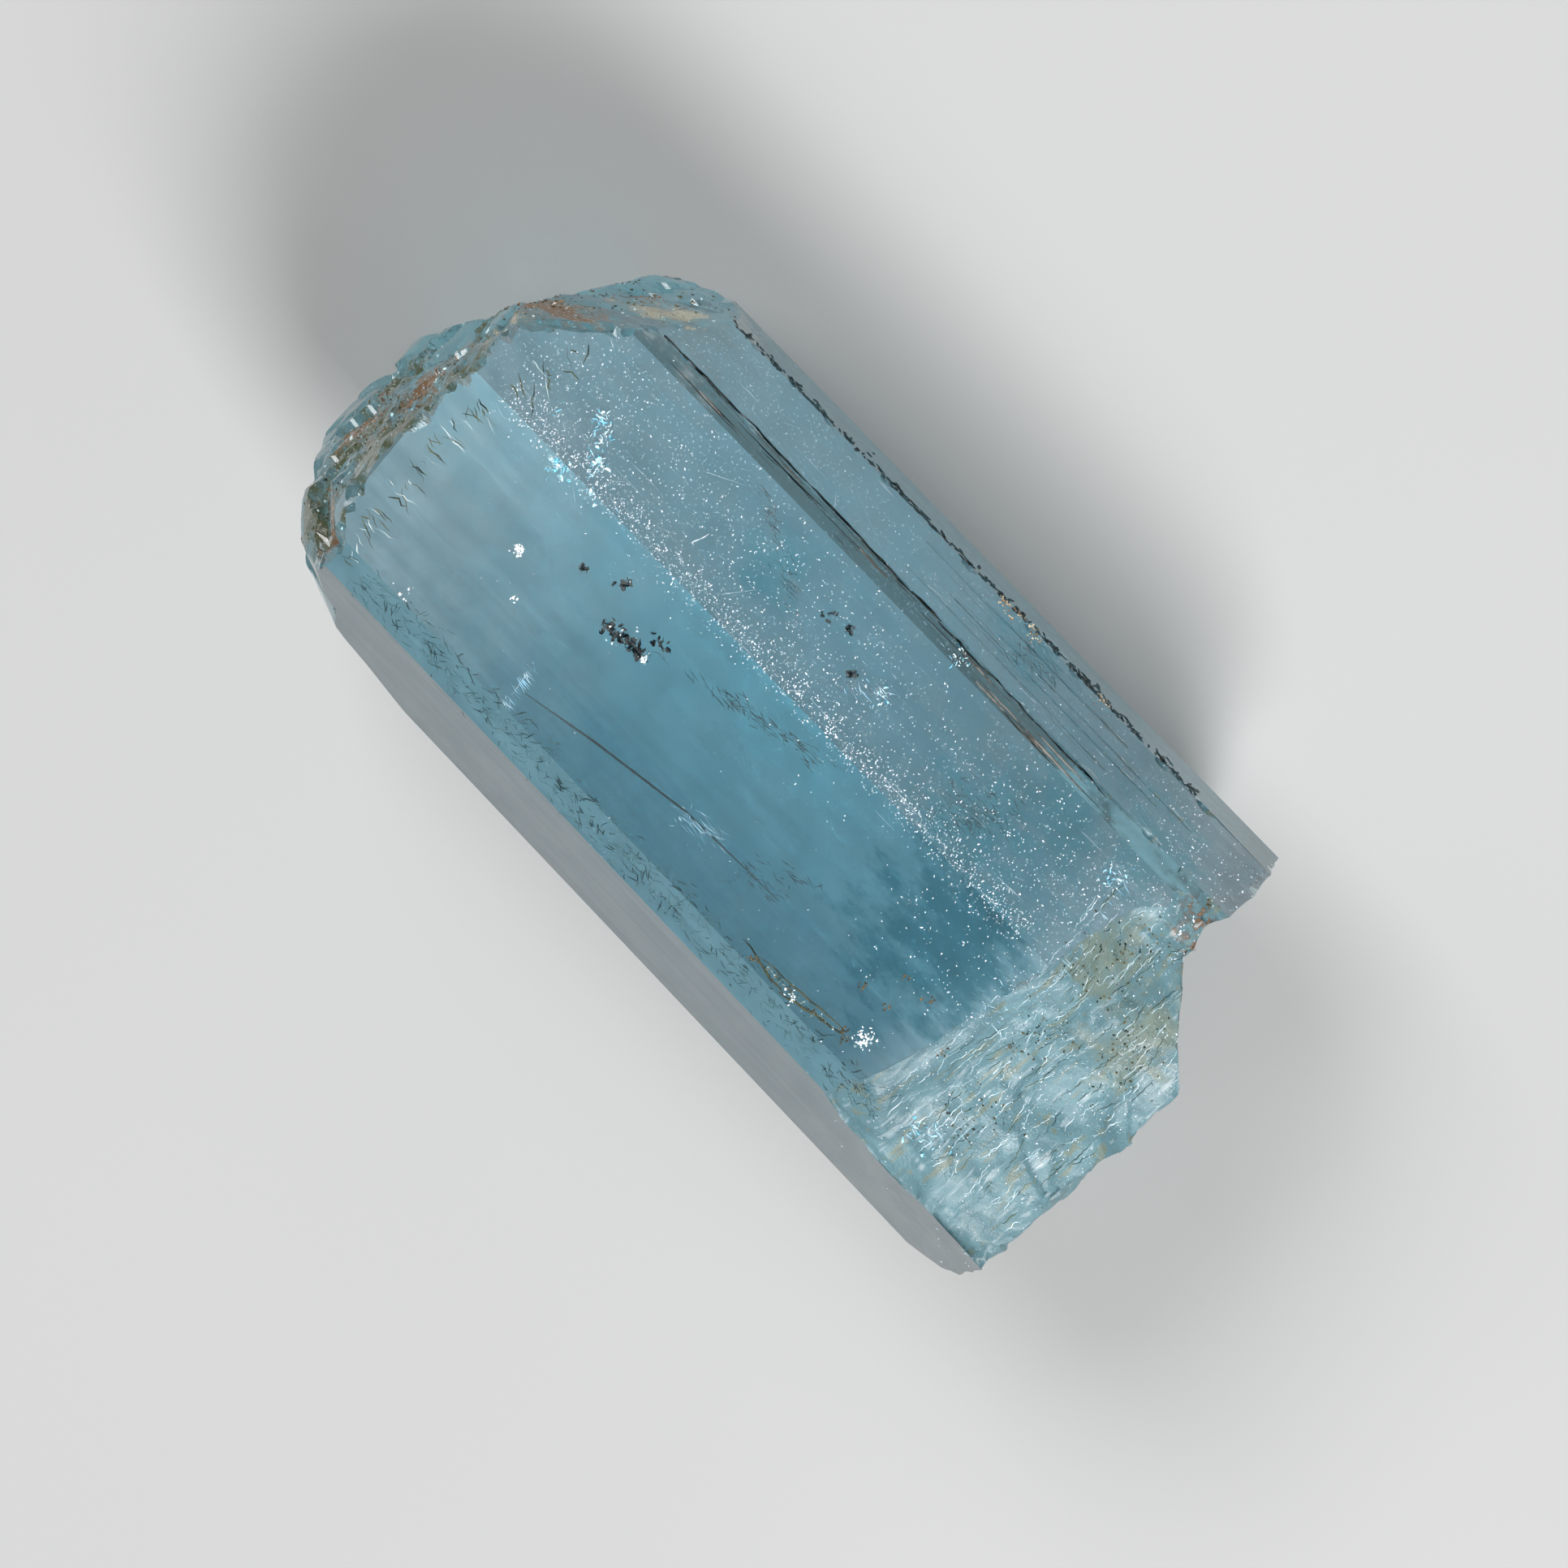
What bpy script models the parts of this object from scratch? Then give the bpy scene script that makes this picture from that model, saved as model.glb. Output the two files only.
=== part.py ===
"""Aquamarine crystal: a short prism of beryl with a natural blunt top and a broken base.

The crystal lies on one of its side faces. Its long axis runs along X, with the natural
top at +X and the break at -X. The broad clear face looks up. The origin is on the resting
face, in the middle of the box that the crystal fills.
"""
import math
import random

import bmesh
import bpy
from mathutils import Euler, Matrix, Vector, noise

MM = 0.001

LENGTH = 24.4 * MM
TAPER = 0.04
TOP_X = LENGTH / 2
BASE_X = -LENGTH / 2

# The side faces in order around the crystal: the way each one looks, in degrees from
# straight up towards -Y, and how wide it is. The two with no width close the outline.
SIDE_FACES = (
    ("broad face", 0.0, 4.93 * MM),
    ("milky face", 30.0, 3.23 * MM),
    ("dark bevel", 45.0, 0.54 * MM),
    ("steep face", 60.0, 1.88 * MM),
    ("near edge face", 90.0, 1.60 * MM),
    ("near under face", 120.0, 5.36 * MM),
    ("resting face", 180.0, None),
    ("far under face", 240.0, None),
    ("far edge face", 270.0, 1.07 * MM),
    ("far slope", 300.0, 3.90 * MM),
    ("etched bevel", 330.0, 1.02 * MM),
)

# The faces that bevel the blunt top: the side each one leans towards, in the same degrees,
# how far it leans from the flat top, and how far from the axis it leaves the flat top.
TOP_FACES = (
    ("near point face", 90.0, 50.0, 3.00 * MM),
    ("near under point face", 120.0, 31.0, 1.40 * MM),
    ("far point face", 300.0, 37.0, 4.10 * MM),
    ("far edge point face", 270.0, 45.0, 4.00 * MM),
    ("far shoulder", 285.0, 68.0, 4.75 * MM),
    ("far taper", 270.0, 82.0, 5.20 * MM),
)

# The flake scar: where its ridge crosses the middle of the broad face, how far the ridge
# leans back across the crystal, and how deep the scar gets by the base, from -Y to +Y.
SCAR_RIDGE_X = -6.15 * MM
SCAR_RIDGE_LEAN = 0.2
SCAR_DEPTHS = ((-4.1 * MM, -0.3 * MM), (-3.4 * MM, 3.6 * MM), (0.0, 3.2 * MM),
               (2.4 * MM, 2.0 * MM), (4.0 * MM, 1.2 * MM), (4.5 * MM, -0.3 * MM))
SCAR_REACH = 6.0 * MM
SCAR_HOLLOW = 0.72

# The break across the base. The notch is seen along a line that leans NOTCH_LEAN degrees
# from straight up towards -Y, and its floor is given at distances across that line.
BASE_LEAN = 0.15
NOTCH_LEAN = 15.0
NOTCH_FLOOR = ((-2.0 * MM, -13.0 * MM), (0.1 * MM, -11.6 * MM), (0.75 * MM, -10.9 * MM),
               (1.8 * MM, -9.6 * MM), (2.55 * MM, -8.9 * MM), (3.4 * MM, -8.4 * MM),
               (4.2 * MM, -8.7 * MM), (5.5 * MM, -8.9 * MM), (7.0 * MM, -9.2 * MM))
CORNER_START_Y = 4.3 * MM
CORNER_DROP = 1.9 * MM

RELIEF_CELL = 0.32 * MM
SCATTER = 0.11 * MM
LEDGE_HEIGHT = 0.62 * MM
RIPPLE_SPACING = 1.3 * MM
RIPPLE_HEIGHT = 0.035 * MM

CHIP_COUNT = 34
CHIP_SIZES = (0.14 * MM, 0.34 * MM)
PIT_COUNT = 26
PIT_SIZES = (0.15 * MM, 0.42 * MM)
EDGE_NICK_COUNT = 16
EDGE_NICK_SIZES = (0.07 * MM, 0.15 * MM)

EDGE_GROOVE_WIDTH = 0.09 * MM
STRIATION_WIDTH = 0.06 * MM
STRIATION_OFFSETS = (0.45 * MM, 0.80 * MM, 1.05 * MM, 1.45 * MM)

COLLECTION_NAME = "Aquamarine crystal"


def face_direction(degrees):
    """The outward direction of a side face, turned from straight up towards -Y."""
    angle = math.radians(degrees)
    return Vector((0.0, -math.sin(angle), math.cos(angle)))


def walk_direction(degrees):
    """The direction along a side face, going round the crystal from +Y over the top to -Y."""
    angle = math.radians(degrees)
    return Vector((0.0, -math.cos(angle), -math.sin(angle)))


def closing_widths():
    """The widths of the two faces that close the outline."""
    gap = Vector((0.0, 0.0, 0.0))
    open_faces = []
    for name, degrees, width in SIDE_FACES:
        if width is None:
            open_faces.append((name, walk_direction(degrees)))
        else:
            gap -= walk_direction(degrees) * width
    (first, a), (second, b) = open_faces
    area = a.y * b.z - a.z * b.y
    return {first: (gap.y * b.z - gap.z * b.y) / area,
            second: (a.y * gap.z - a.z * gap.y) / area}


def side_outline():
    """The corners of the cross-section, centred across Y and standing on Z = 0."""
    widths = closing_widths()
    corner = Vector((0.0, 0.0, 0.0))
    corners = {}
    for name, degrees, width in SIDE_FACES:
        corners[name] = corner.copy()
        corner += walk_direction(degrees) * (widths[name] if width is None else width)
    across = [point.y for point in corners.values()]
    shift = Vector((0.0, -(min(across) + max(across)) / 2,
                    -min(point.z for point in corners.values())))
    return {name: point + shift for name, point in corners.items()}


CORNERS = side_outline()
HEIGHT = CORNERS["broad face"].z
AXIS_HEIGHT = HEIGHT / 2


def between(table, value):
    """A straight-line reading between the rows of a table of (place, amount)."""
    if value <= table[0][0]:
        return table[0][1]
    for (low, low_amount), (high, high_amount) in zip(table, table[1:]):
        if value <= high:
            share = (value - low) / (high - low)
            return low_amount + (high_amount - low_amount) * share
    return table[-1][1]


def upper_surface(y):
    """The height of the upward faces at a place across the crystal."""
    upper = ("far slope", "etched bevel", "broad face", "milky face", "dark bevel",
             "steep face", "near edge face")
    table = sorted((CORNERS[name].y, CORNERS[name].z) for name in upper)
    return between(table, y)


def top_level(y, z):
    """How far along X the natural top reaches at a place in the cross-section."""
    level = TOP_X
    for _, degrees, lean, start in TOP_FACES:
        outward = face_direction(degrees)
        reach = outward.y * y + outward.z * (z - AXIS_HEIGHT)
        level = min(level, TOP_X - (reach - start) * math.tan(math.radians(lean)))
    return level


def rough(x, y, grain):
    """An uneven height between about -1 and 1, with lumps the size of grain."""
    return noise.fractal(Vector((x / grain, y / grain, 0.5)), 1.0, 2.0, 3)


def stepped(depth):
    """A depth turned into ledges: nearly level treads with short steep risers."""
    level = math.floor(depth / LEDGE_HEIGHT)
    rise = depth / LEDGE_HEIGHT - level
    return (level + 0.25 * rise + 0.75 * rise ** 4) * LEDGE_HEIGHT


def scar_surface(x, y):
    """The height of the flake scar that slopes from its ridge down to the base."""
    ridge = SCAR_RIDGE_X + SCAR_RIDGE_LEAN * y + 0.22 * MM * rough(y, 0.0, 1.6 * MM)
    past_ridge = ridge - x
    if past_ridge < 0:
        return upper_surface(y) - past_ridge * 0.6
    depth = between(SCAR_DEPTHS, y) * (past_ridge / SCAR_REACH) ** SCAR_HOLLOW
    depth += 0.35 * MM * rough(x, y, 2.6 * MM) * min(1.0, past_ridge / (1.5 * MM))
    from_strike = math.hypot(x - BASE_X, y + 1.2 * MM)
    depth += RIPPLE_HEIGHT * math.sin(from_strike / RIPPLE_SPACING * math.tau)
    if depth > 0:
        depth = 0.5 * (depth + stepped(depth))
    depth += 0.13 * MM * rough(x + 9.0 * MM, y, 0.9 * MM) * min(1.0, past_ridge / (0.5 * MM))
    return upper_surface(y) - depth


def break_surface(y, z):
    """How far towards the base the crystal reaches at a place in the cross-section."""
    lean = math.radians(NOTCH_LEAN)
    across = -(y * math.cos(lean) + (z - AXIS_HEIGHT) * math.sin(lean))
    base = BASE_X - 0.35 * MM + BASE_LEAN * z
    base += 0.38 * MM * (1.0 + rough(y, z, 2.4 * MM))
    past_corner = max(0.0, y - CORNER_START_Y + 0.3 * MM * rough(z, 0.0, 2.0 * MM))
    corner = BASE_X + CORNER_DROP * (past_corner / (1.4 * MM)) ** 1.6
    notch = between(NOTCH_FLOOR, across) + 0.17 * MM * rough(y, z, 0.9 * MM)
    return max(base, corner, notch)


def link(mesh_object, collection):
    """Put an object in a collection and return it."""
    collection.objects.link(mesh_object)
    return mesh_object


def mesh_from(bm, name):
    """A mesh with its faces pointing out, made from a bmesh that is then freed."""
    bmesh.ops.recalc_face_normals(bm, faces=bm.faces)
    mesh = bpy.data.meshes.new(name)
    bm.to_mesh(mesh)
    bm.free()
    return mesh


def prism_mesh():
    """The plain prism: the flat cross-section, extruded along X."""
    curve = bpy.data.curves.new("prism outline", "CURVE")
    curve.dimensions = "2D"
    curve.fill_mode = "BOTH"
    curve.extrude = LENGTH / 2
    spline = curve.splines.new("POLY")
    spline.points.add(len(CORNERS) - 1)
    for point, corner in zip(spline.points, CORNERS.values()):
        point.co = (corner.y, corner.z, 0.0, 1.0)
    spline.use_cyclic_u = True
    outline = bpy.data.objects.new("prism outline", curve)
    bpy.context.scene.collection.objects.link(outline)
    evaluated = outline.evaluated_get(bpy.context.evaluated_depsgraph_get())
    mesh = bpy.data.meshes.new_from_object(evaluated)
    bpy.data.objects.remove(outline)
    bpy.data.curves.remove(curve)
    mesh.transform(Euler((math.pi / 2, 0.0, math.pi / 2)).to_matrix().to_4x4())
    return mesh


def crystal_mesh():
    """The prism with the faces of its natural top cut flat."""
    mesh = prism_mesh()
    bm = bmesh.new()
    bm.from_mesh(mesh)
    bmesh.ops.remove_doubles(bm, verts=bm.verts, dist=0.001 * MM)
    bmesh.ops.dissolve_limit(bm, angle_limit=math.radians(0.5), verts=bm.verts, edges=bm.edges)
    for _, degrees, lean, start in TOP_FACES:
        outward = face_direction(degrees)
        tilt = math.radians(lean)
        place = Vector((TOP_X, 0.0, AXIS_HEIGHT)) + outward * start
        normal = Vector((math.cos(tilt), 0.0, 0.0)) + outward * math.sin(tilt)
        bmesh.ops.bisect_plane(bm, geom=bm.verts[:] + bm.edges[:] + bm.faces[:],
                               dist=0.0001 * MM, plane_co=place, plane_no=normal,
                               clear_outer=True)
        rim = [edge for edge in bm.edges if edge.is_boundary]
        bmesh.ops.holes_fill(bm, edges=rim)
    bmesh.ops.recalc_face_normals(bm, faces=bm.faces)
    bm.to_mesh(mesh)
    bm.free()
    mesh.name = "crystal"
    return mesh


def relief_mesh(name, middle, size, height, lid):
    """A closed block with one rough side, lifted to height(u, v), and a flat side at lid.

    The points of the rough side are scattered a little, so that its facets are uneven.
    """
    pick = random.Random(11)
    bm = bmesh.new()
    bmesh.ops.create_grid(bm, x_segments=round(size[0] / RELIEF_CELL),
                          y_segments=round(size[1] / RELIEF_CELL), size=0.5)
    for vert in bm.verts:
        u = middle[0] + vert.co.x * size[0] + pick.uniform(-SCATTER, SCATTER)
        v = middle[1] + vert.co.y * size[1] + pick.uniform(-SCATTER, SCATTER)
        vert.co = (u, v, height(u, v))
    bmesh.ops.triangulate(bm, faces=bm.faces)
    lifted = bmesh.ops.extrude_face_region(bm, geom=bm.faces[:])
    for item in lifted["geom"]:
        if isinstance(item, bmesh.types.BMVert):
            item.co.z = lid
    return mesh_from(bm, name)


def scar_cutter():
    """The block that cuts the flake scar: rough below, flat above the crystal."""
    return relief_mesh("scar cutter", (-9.1 * MM, 0.2 * MM), (8.6 * MM, 10.4 * MM),
                       scar_surface, HEIGHT + 2.0 * MM)


def break_cutter():
    """The block that cuts the base and its notch: rough towards the crystal."""
    mesh = relief_mesh("break cutter", (0.0, AXIS_HEIGHT), (12.4 * MM, 10.4 * MM),
                       break_surface, BASE_X - 1.5 * MM)
    mesh.transform(Matrix(((0, 0, 1, 0), (1, 0, 0, 0), (0, 1, 0, 0), (0, 0, 0, 1))))
    return mesh


def add_lump(bm, place, radii, turn):
    """Add one small twenty-sided lump to a bmesh."""
    shape = Matrix.Translation(place) @ turn.to_matrix().to_4x4() @ Matrix.Diagonal((*radii, 1.0))
    bmesh.ops.create_icosphere(bm, subdivisions=1, radius=1.0, matrix=shape)


def rim_chips():
    """The cutter for the bites out of the upper rim of the natural top."""
    pick = random.Random(7)
    bm = bmesh.new()
    for step in range(CHIP_COUNT):
        share = (step + pick.uniform(0.2, 0.8)) / CHIP_COUNT
        y = (4.9 - 10.3 * share) * MM
        z = upper_surface(y)
        size = pick.uniform(*CHIP_SIZES)
        place = Vector((top_level(y, z) + pick.uniform(-0.1, 0.3) * size, y,
                        z + pick.uniform(-0.2, 0.4) * size))
        radii = (size * pick.uniform(0.8, 1.5), size * pick.uniform(0.6, 0.9), size * 0.8)
        turn = Euler((pick.uniform(0, 6), pick.uniform(0, 6), pick.uniform(0, 6)))
        add_lump(bm, place, radii, turn)
    return mesh_from(bm, "rim chips")


def top_pits():
    """The cutter for the pits in the faces of the natural top."""
    pick = random.Random(19)
    bm = bmesh.new()
    golden = math.pi * (3.0 - math.sqrt(5.0))
    for step in range(PIT_COUNT):
        spread = math.sqrt((step + 0.5) / PIT_COUNT)
        y = 4.6 * MM * spread * math.cos(step * golden)
        z = AXIS_HEIGHT + 3.9 * MM * spread * math.sin(step * golden)
        size = pick.uniform(*PIT_SIZES)
        place = Vector((top_level(y, z) + 0.05 * size, y, z))
        radii = (size * 0.45, size * pick.uniform(0.8, 1.5), size)
        add_lump(bm, place, radii, Euler((pick.uniform(0, 6), 0.0, 0.0)))
    return mesh_from(bm, "top pits")


def edge_nicks():
    """The cutter for the nicks along the edges of the steep face."""
    pick = random.Random(31)
    bm = bmesh.new()
    for step in range(EDGE_NICK_COUNT):
        share = (step + pick.uniform(0.1, 0.9)) / EDGE_NICK_COUNT
        corner = CORNERS["near edge face" if step % 2 else "steep face"]
        size = pick.uniform(*EDGE_NICK_SIZES)
        place = Vector((9.0 * MM - 16.5 * MM * share, corner.y, corner.z))
        radii = (size * pick.uniform(1.5, 3.0), size, size)
        add_lump(bm, place, radii, Euler((pick.uniform(0, 6), 0.0, 0.0)))
    return mesh_from(bm, "edge nicks")


def groove_mesh(name, lines, width, seed):
    """Thin four-sided rods that run along X and jog from side to side, as one cutter."""
    pick = random.Random(seed)
    curve = bpy.data.curves.new(name, "CURVE")
    curve.dimensions = "3D"
    curve.bevel_depth = width / 2
    curve.bevel_resolution = 0
    curve.use_fill_caps = True
    for start_x, end_x, corner, across in lines:
        spline = curve.splines.new("POLY")
        steps = 7
        spline.points.add(steps)
        for index, point in enumerate(spline.points):
            x = start_x + (end_x - start_x) * index / steps
            place = Vector((x, corner.y, corner.z)) + across * pick.uniform(-0.25, 0.25) * width
            point.co = (*place, 1.0)
    rods = bpy.data.objects.new(name, curve)
    bpy.context.scene.collection.objects.link(rods)
    evaluated = rods.evaluated_get(bpy.context.evaluated_depsgraph_get())
    mesh = bpy.data.meshes.new_from_object(evaluated)
    bpy.data.objects.remove(rods)
    bpy.data.curves.remove(curve)
    bm = bmesh.new()
    bm.from_mesh(mesh)
    bmesh.ops.remove_doubles(bm, verts=bm.verts, dist=0.0005 * MM)
    bmesh.ops.triangulate(bm, faces=bm.faces)
    bmesh.ops.recalc_face_normals(bm, faces=bm.faces)
    bm.to_mesh(mesh)
    bm.free()
    return mesh


def bevel_groove():
    """The cutter for the dark groove where the bevel meets the steep face."""
    corner = CORNERS["steep face"]
    along = walk_direction(45.0)
    return groove_mesh("bevel groove", ((9.4 * MM, -6.4 * MM, corner, along),),
                       EDGE_GROOVE_WIDTH, 3)


def striations():
    """The cutter for the fine growth grooves on the lower half of the steep face."""
    corner = CORNERS["steep face"]
    along = walk_direction(60.0)
    lines = []
    for number, offset in enumerate(STRIATION_OFFSETS):
        start_x = (2.0 - 1.3 * (number % 3)) * MM
        lines.append((start_x, start_x - 6.5 * MM, corner + along * offset, along))
    return groove_mesh("striations", lines, STRIATION_WIDTH, 5)


def rim_shelf():
    """The cutter for the low shelf along the rim of the broad face."""
    bm = bmesh.new()
    shape = Matrix.Translation((TOP_X - 0.02 * MM, 1.3 * MM, HEIGHT))
    shape @= Matrix.Rotation(math.radians(8.0), 4, "Z")
    shape @= Matrix.Diagonal((0.52 * MM, 1.7 * MM, 0.3 * MM, 1.0))
    bmesh.ops.create_cube(bm, size=1.0, matrix=shape)
    return mesh_from(bm, "rim shelf")


def corner_nub():
    """The small lump that stands proud at the far corner of the natural top."""
    bm = bmesh.new()
    place = Vector((TOP_X - 2.1 * MM, 5.05 * MM, AXIS_HEIGHT + 0.9 * MM))
    add_lump(bm, place, (0.38 * MM, 0.26 * MM, 0.30 * MM), Euler((0.3, 0.5, 0.2)))
    return mesh_from(bm, "corner nub")


def beryl():
    """Pale blue beryl: clear, with a satin skin."""
    material = bpy.data.materials.new("aquamarine")
    material.use_nodes = True
    shader = material.node_tree.nodes["Principled BSDF"]
    shader.inputs["Base Color"].default_value = (0.20, 0.42, 0.50, 1.0)
    shader.inputs["Roughness"].default_value = 0.15
    shader.inputs["Metallic"].default_value = 0.0
    shader.inputs["IOR"].default_value = 1.577
    shader.inputs["Transmission Weight"].default_value = 0.9
    material.diffuse_color = (0.20, 0.42, 0.50, 1.0)
    return material


def shape_with(crystal, name, mesh, operation, tools):
    """Cut a mesh from the crystal, or join it on, with a Boolean."""
    tool = link(bpy.data.objects.new(name, mesh), tools)
    tool.hide_render = True
    tool.display_type = "WIRE"
    boolean = crystal.modifiers.new(name, "BOOLEAN")
    boolean.operation = operation
    boolean.solver = "EXACT"
    boolean.use_self = True
    boolean.object = tool


def main():
    """Build the crystal."""
    for old in list(bpy.data.objects):
        bpy.data.objects.remove(old)
    parts = bpy.data.collections.new(COLLECTION_NAME)
    tools = bpy.data.collections.new(COLLECTION_NAME + " cutters")
    bpy.context.scene.collection.children.link(parts)
    bpy.context.scene.collection.children.link(tools)

    crystal = link(bpy.data.objects.new("crystal", crystal_mesh()), parts)
    crystal.data.materials.append(beryl())
    shape_with(crystal, "corner nub", corner_nub(), "UNION", tools)
    shape_with(crystal, "flake scar", scar_cutter(), "DIFFERENCE", tools)
    shape_with(crystal, "broken base", break_cutter(), "DIFFERENCE", tools)
    shape_with(crystal, "rim shelf", rim_shelf(), "DIFFERENCE", tools)
    shape_with(crystal, "rim chips", rim_chips(), "DIFFERENCE", tools)
    shape_with(crystal, "top pits", top_pits(), "DIFFERENCE", tools)
    shape_with(crystal, "edge nicks", edge_nicks(), "DIFFERENCE", tools)
    shape_with(crystal, "bevel groove", bevel_groove(), "DIFFERENCE", tools)
    shape_with(crystal, "striations", striations(), "DIFFERENCE", tools)
    taper = crystal.modifiers.new("taper", "SIMPLE_DEFORM")
    taper.deform_method = "TAPER"
    taper.deform_axis = "X"
    taper.factor = -TAPER


main()
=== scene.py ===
"""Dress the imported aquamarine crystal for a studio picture."""

import contextlib
import math
import random

import bmesh
import bpy
from bpy.props import FloatProperty, FloatVectorProperty, PointerProperty
from mathutils import Euler, Matrix, Vector, noise
from mathutils.bvhtree import BVHTree
from mathutils.kdtree import KDTree


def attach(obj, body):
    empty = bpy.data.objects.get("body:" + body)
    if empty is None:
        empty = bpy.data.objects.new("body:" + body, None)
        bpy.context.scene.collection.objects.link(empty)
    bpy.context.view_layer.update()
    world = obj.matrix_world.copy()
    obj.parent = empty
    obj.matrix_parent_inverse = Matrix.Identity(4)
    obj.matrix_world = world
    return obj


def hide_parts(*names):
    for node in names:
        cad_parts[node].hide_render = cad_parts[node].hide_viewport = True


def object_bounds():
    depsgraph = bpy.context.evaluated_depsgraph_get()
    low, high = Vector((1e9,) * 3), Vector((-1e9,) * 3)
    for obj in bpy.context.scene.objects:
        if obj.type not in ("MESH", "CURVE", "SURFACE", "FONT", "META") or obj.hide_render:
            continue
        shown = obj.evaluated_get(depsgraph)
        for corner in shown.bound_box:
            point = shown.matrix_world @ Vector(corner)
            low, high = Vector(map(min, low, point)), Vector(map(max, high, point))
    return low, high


bl_info = {
    "name": "Aquamarine crystal",
    "version": (1, 0, 0),
    "blender": (4, 5, 0),
    "location": "3D View > Sidebar > Crystal",
    "description": "Builds the looks of an aquamarine crystal around its packed solid",
    "category": "Object",
}

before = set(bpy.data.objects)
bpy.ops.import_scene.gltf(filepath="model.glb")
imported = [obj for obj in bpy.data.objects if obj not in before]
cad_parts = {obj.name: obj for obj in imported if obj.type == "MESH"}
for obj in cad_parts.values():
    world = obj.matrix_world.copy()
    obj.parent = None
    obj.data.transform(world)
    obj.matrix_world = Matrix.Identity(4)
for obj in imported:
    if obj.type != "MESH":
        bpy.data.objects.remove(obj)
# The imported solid's box, in metres.
CAD_LOW, CAD_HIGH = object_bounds()
# One millimetre, in metres. The places and sizes in the tables are in millimetres.
MM = 0.001

# The side faces, by the way they look, in degrees from straight up towards -Y.
BROAD, MILKY, BEVEL, STEEP, NEAR_EDGE, NEAR_UNDER = 0, 30, 45, 60, 90, 120
RESTING, FAR_UNDER, FAR_EDGE, FAR_SLOPE, ETCHED = 180, 240, 270, 300, 330

# The finish of each side face: how rough and how hazy it is, from 0 to 1, and its colour.
FACE_FINISH = {
    BROAD: (0.10, 0.03, (0.80, 0.96, 1.00)),
    MILKY: (0.18, 0.15, (0.39, 0.49, 0.53)),
    BEVEL: (0.20, 0.38, (0.13, 0.18, 0.185)),
    STEEP: (0.22, 0.17, (0.45, 0.52, 0.55)),
    NEAR_EDGE: (0.25, 0.50, (0.20, 0.30, 0.32)),
    NEAR_UNDER: (0.60, 0.78, (0.70, 0.90, 0.96)),
    RESTING: (0.70, 0.85, (0.88, 0.97, 1.00)),
    FAR_UNDER: (0.60, 0.78, (0.70, 0.90, 0.96)),
    FAR_EDGE: (0.42, 0.50, (0.22, 0.27, 0.29)),
    FAR_SLOPE: (0.40, 0.58, (0.19, 0.215, 0.225)),
    ETCHED: (0.40, 0.40, (0.16, 0.30, 0.35)),
}
TOP_FINISH = (0.12, 0.12, (0.30, 0.47, 0.48))
NICK_FINISH = (0.45, 0.25, (0.34, 0.44, 0.46))
BREAK_FINISH = (0.60, 0.28, (0.19, 0.35, 0.39))

# Where the beryl is a deeper blue, greyer, rusty or shaded: (x, y, z, radius).
DEEP_PATCHES = (
    (-3.1, -2.9, 9.2, 1.4), (-4.6, -0.6, 9.9, 2.2), (-6.3, -4.9, 8.0, 1.4),
    (4.2, -3.5, 9.0, 0.8), (-1.6, -5.7, 6.6, 1.1), (-4.3, -4.1, 8.6, 1.2),
)
GREY_PATCHES = ((9.6, -5.6, 6.2, 2.0),)
NOTCH_PATCHES = ((-8.5, -4.4, 8.3, 0.8),)
SHADED_PATCHES = ((-7.3, -2.6, 9.0, 1.1), (-9.2, -1.6, 7.8, 1.3))

# Stains on the natural top: (y, z, radius).
RUST_STAINS = ((0.0, 6.6, 1.4), (-3.4, 7.4, 0.9), (3.4, 8.6, 0.6), (2.3, 4.4, 0.9))
OLIVE_STAINS = (
    (0.9, 8.6, 2.2), (2.3, 5.6, 1.6), (-1.6, 8.8, 1.4), (3.8, 7.4, 1.1), (1.6, 3.2, 1.2),
    (-2.0, 5.6, 1.0),
)
CREAM_STAINS = ((-4.9, 6.3, 0.7), (-2.6, 8.2, 0.6))

# What lies over the beryl's own colour, in the order in which it is laid: its colour, how
# strongly it tints, and how far it clouds what is under it, both from 0 to 1.
COATS = {
    "deep": ((0.26, 0.45, 0.50), 1.0, 0.0),
    "grey": ((0.42, 0.43, 0.42), 1.0, 0.0),
    "olive": ((0.09, 0.10, 0.05), 1.0, 0.7),
    "tan": ((0.30, 0.31, 0.20), 0.7, 0.4),
    "rust": ((0.19, 0.105, 0.05), 1.0, 0.8),
    "cream": ((0.50, 0.42, 0.29), 1.0, 0.6),
    "speckle": ((0.78, 0.84, 0.88), 0.5, 0.35),
    "veins": ((0.80, 0.88, 0.90), 1.0, 0.4),
}

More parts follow.
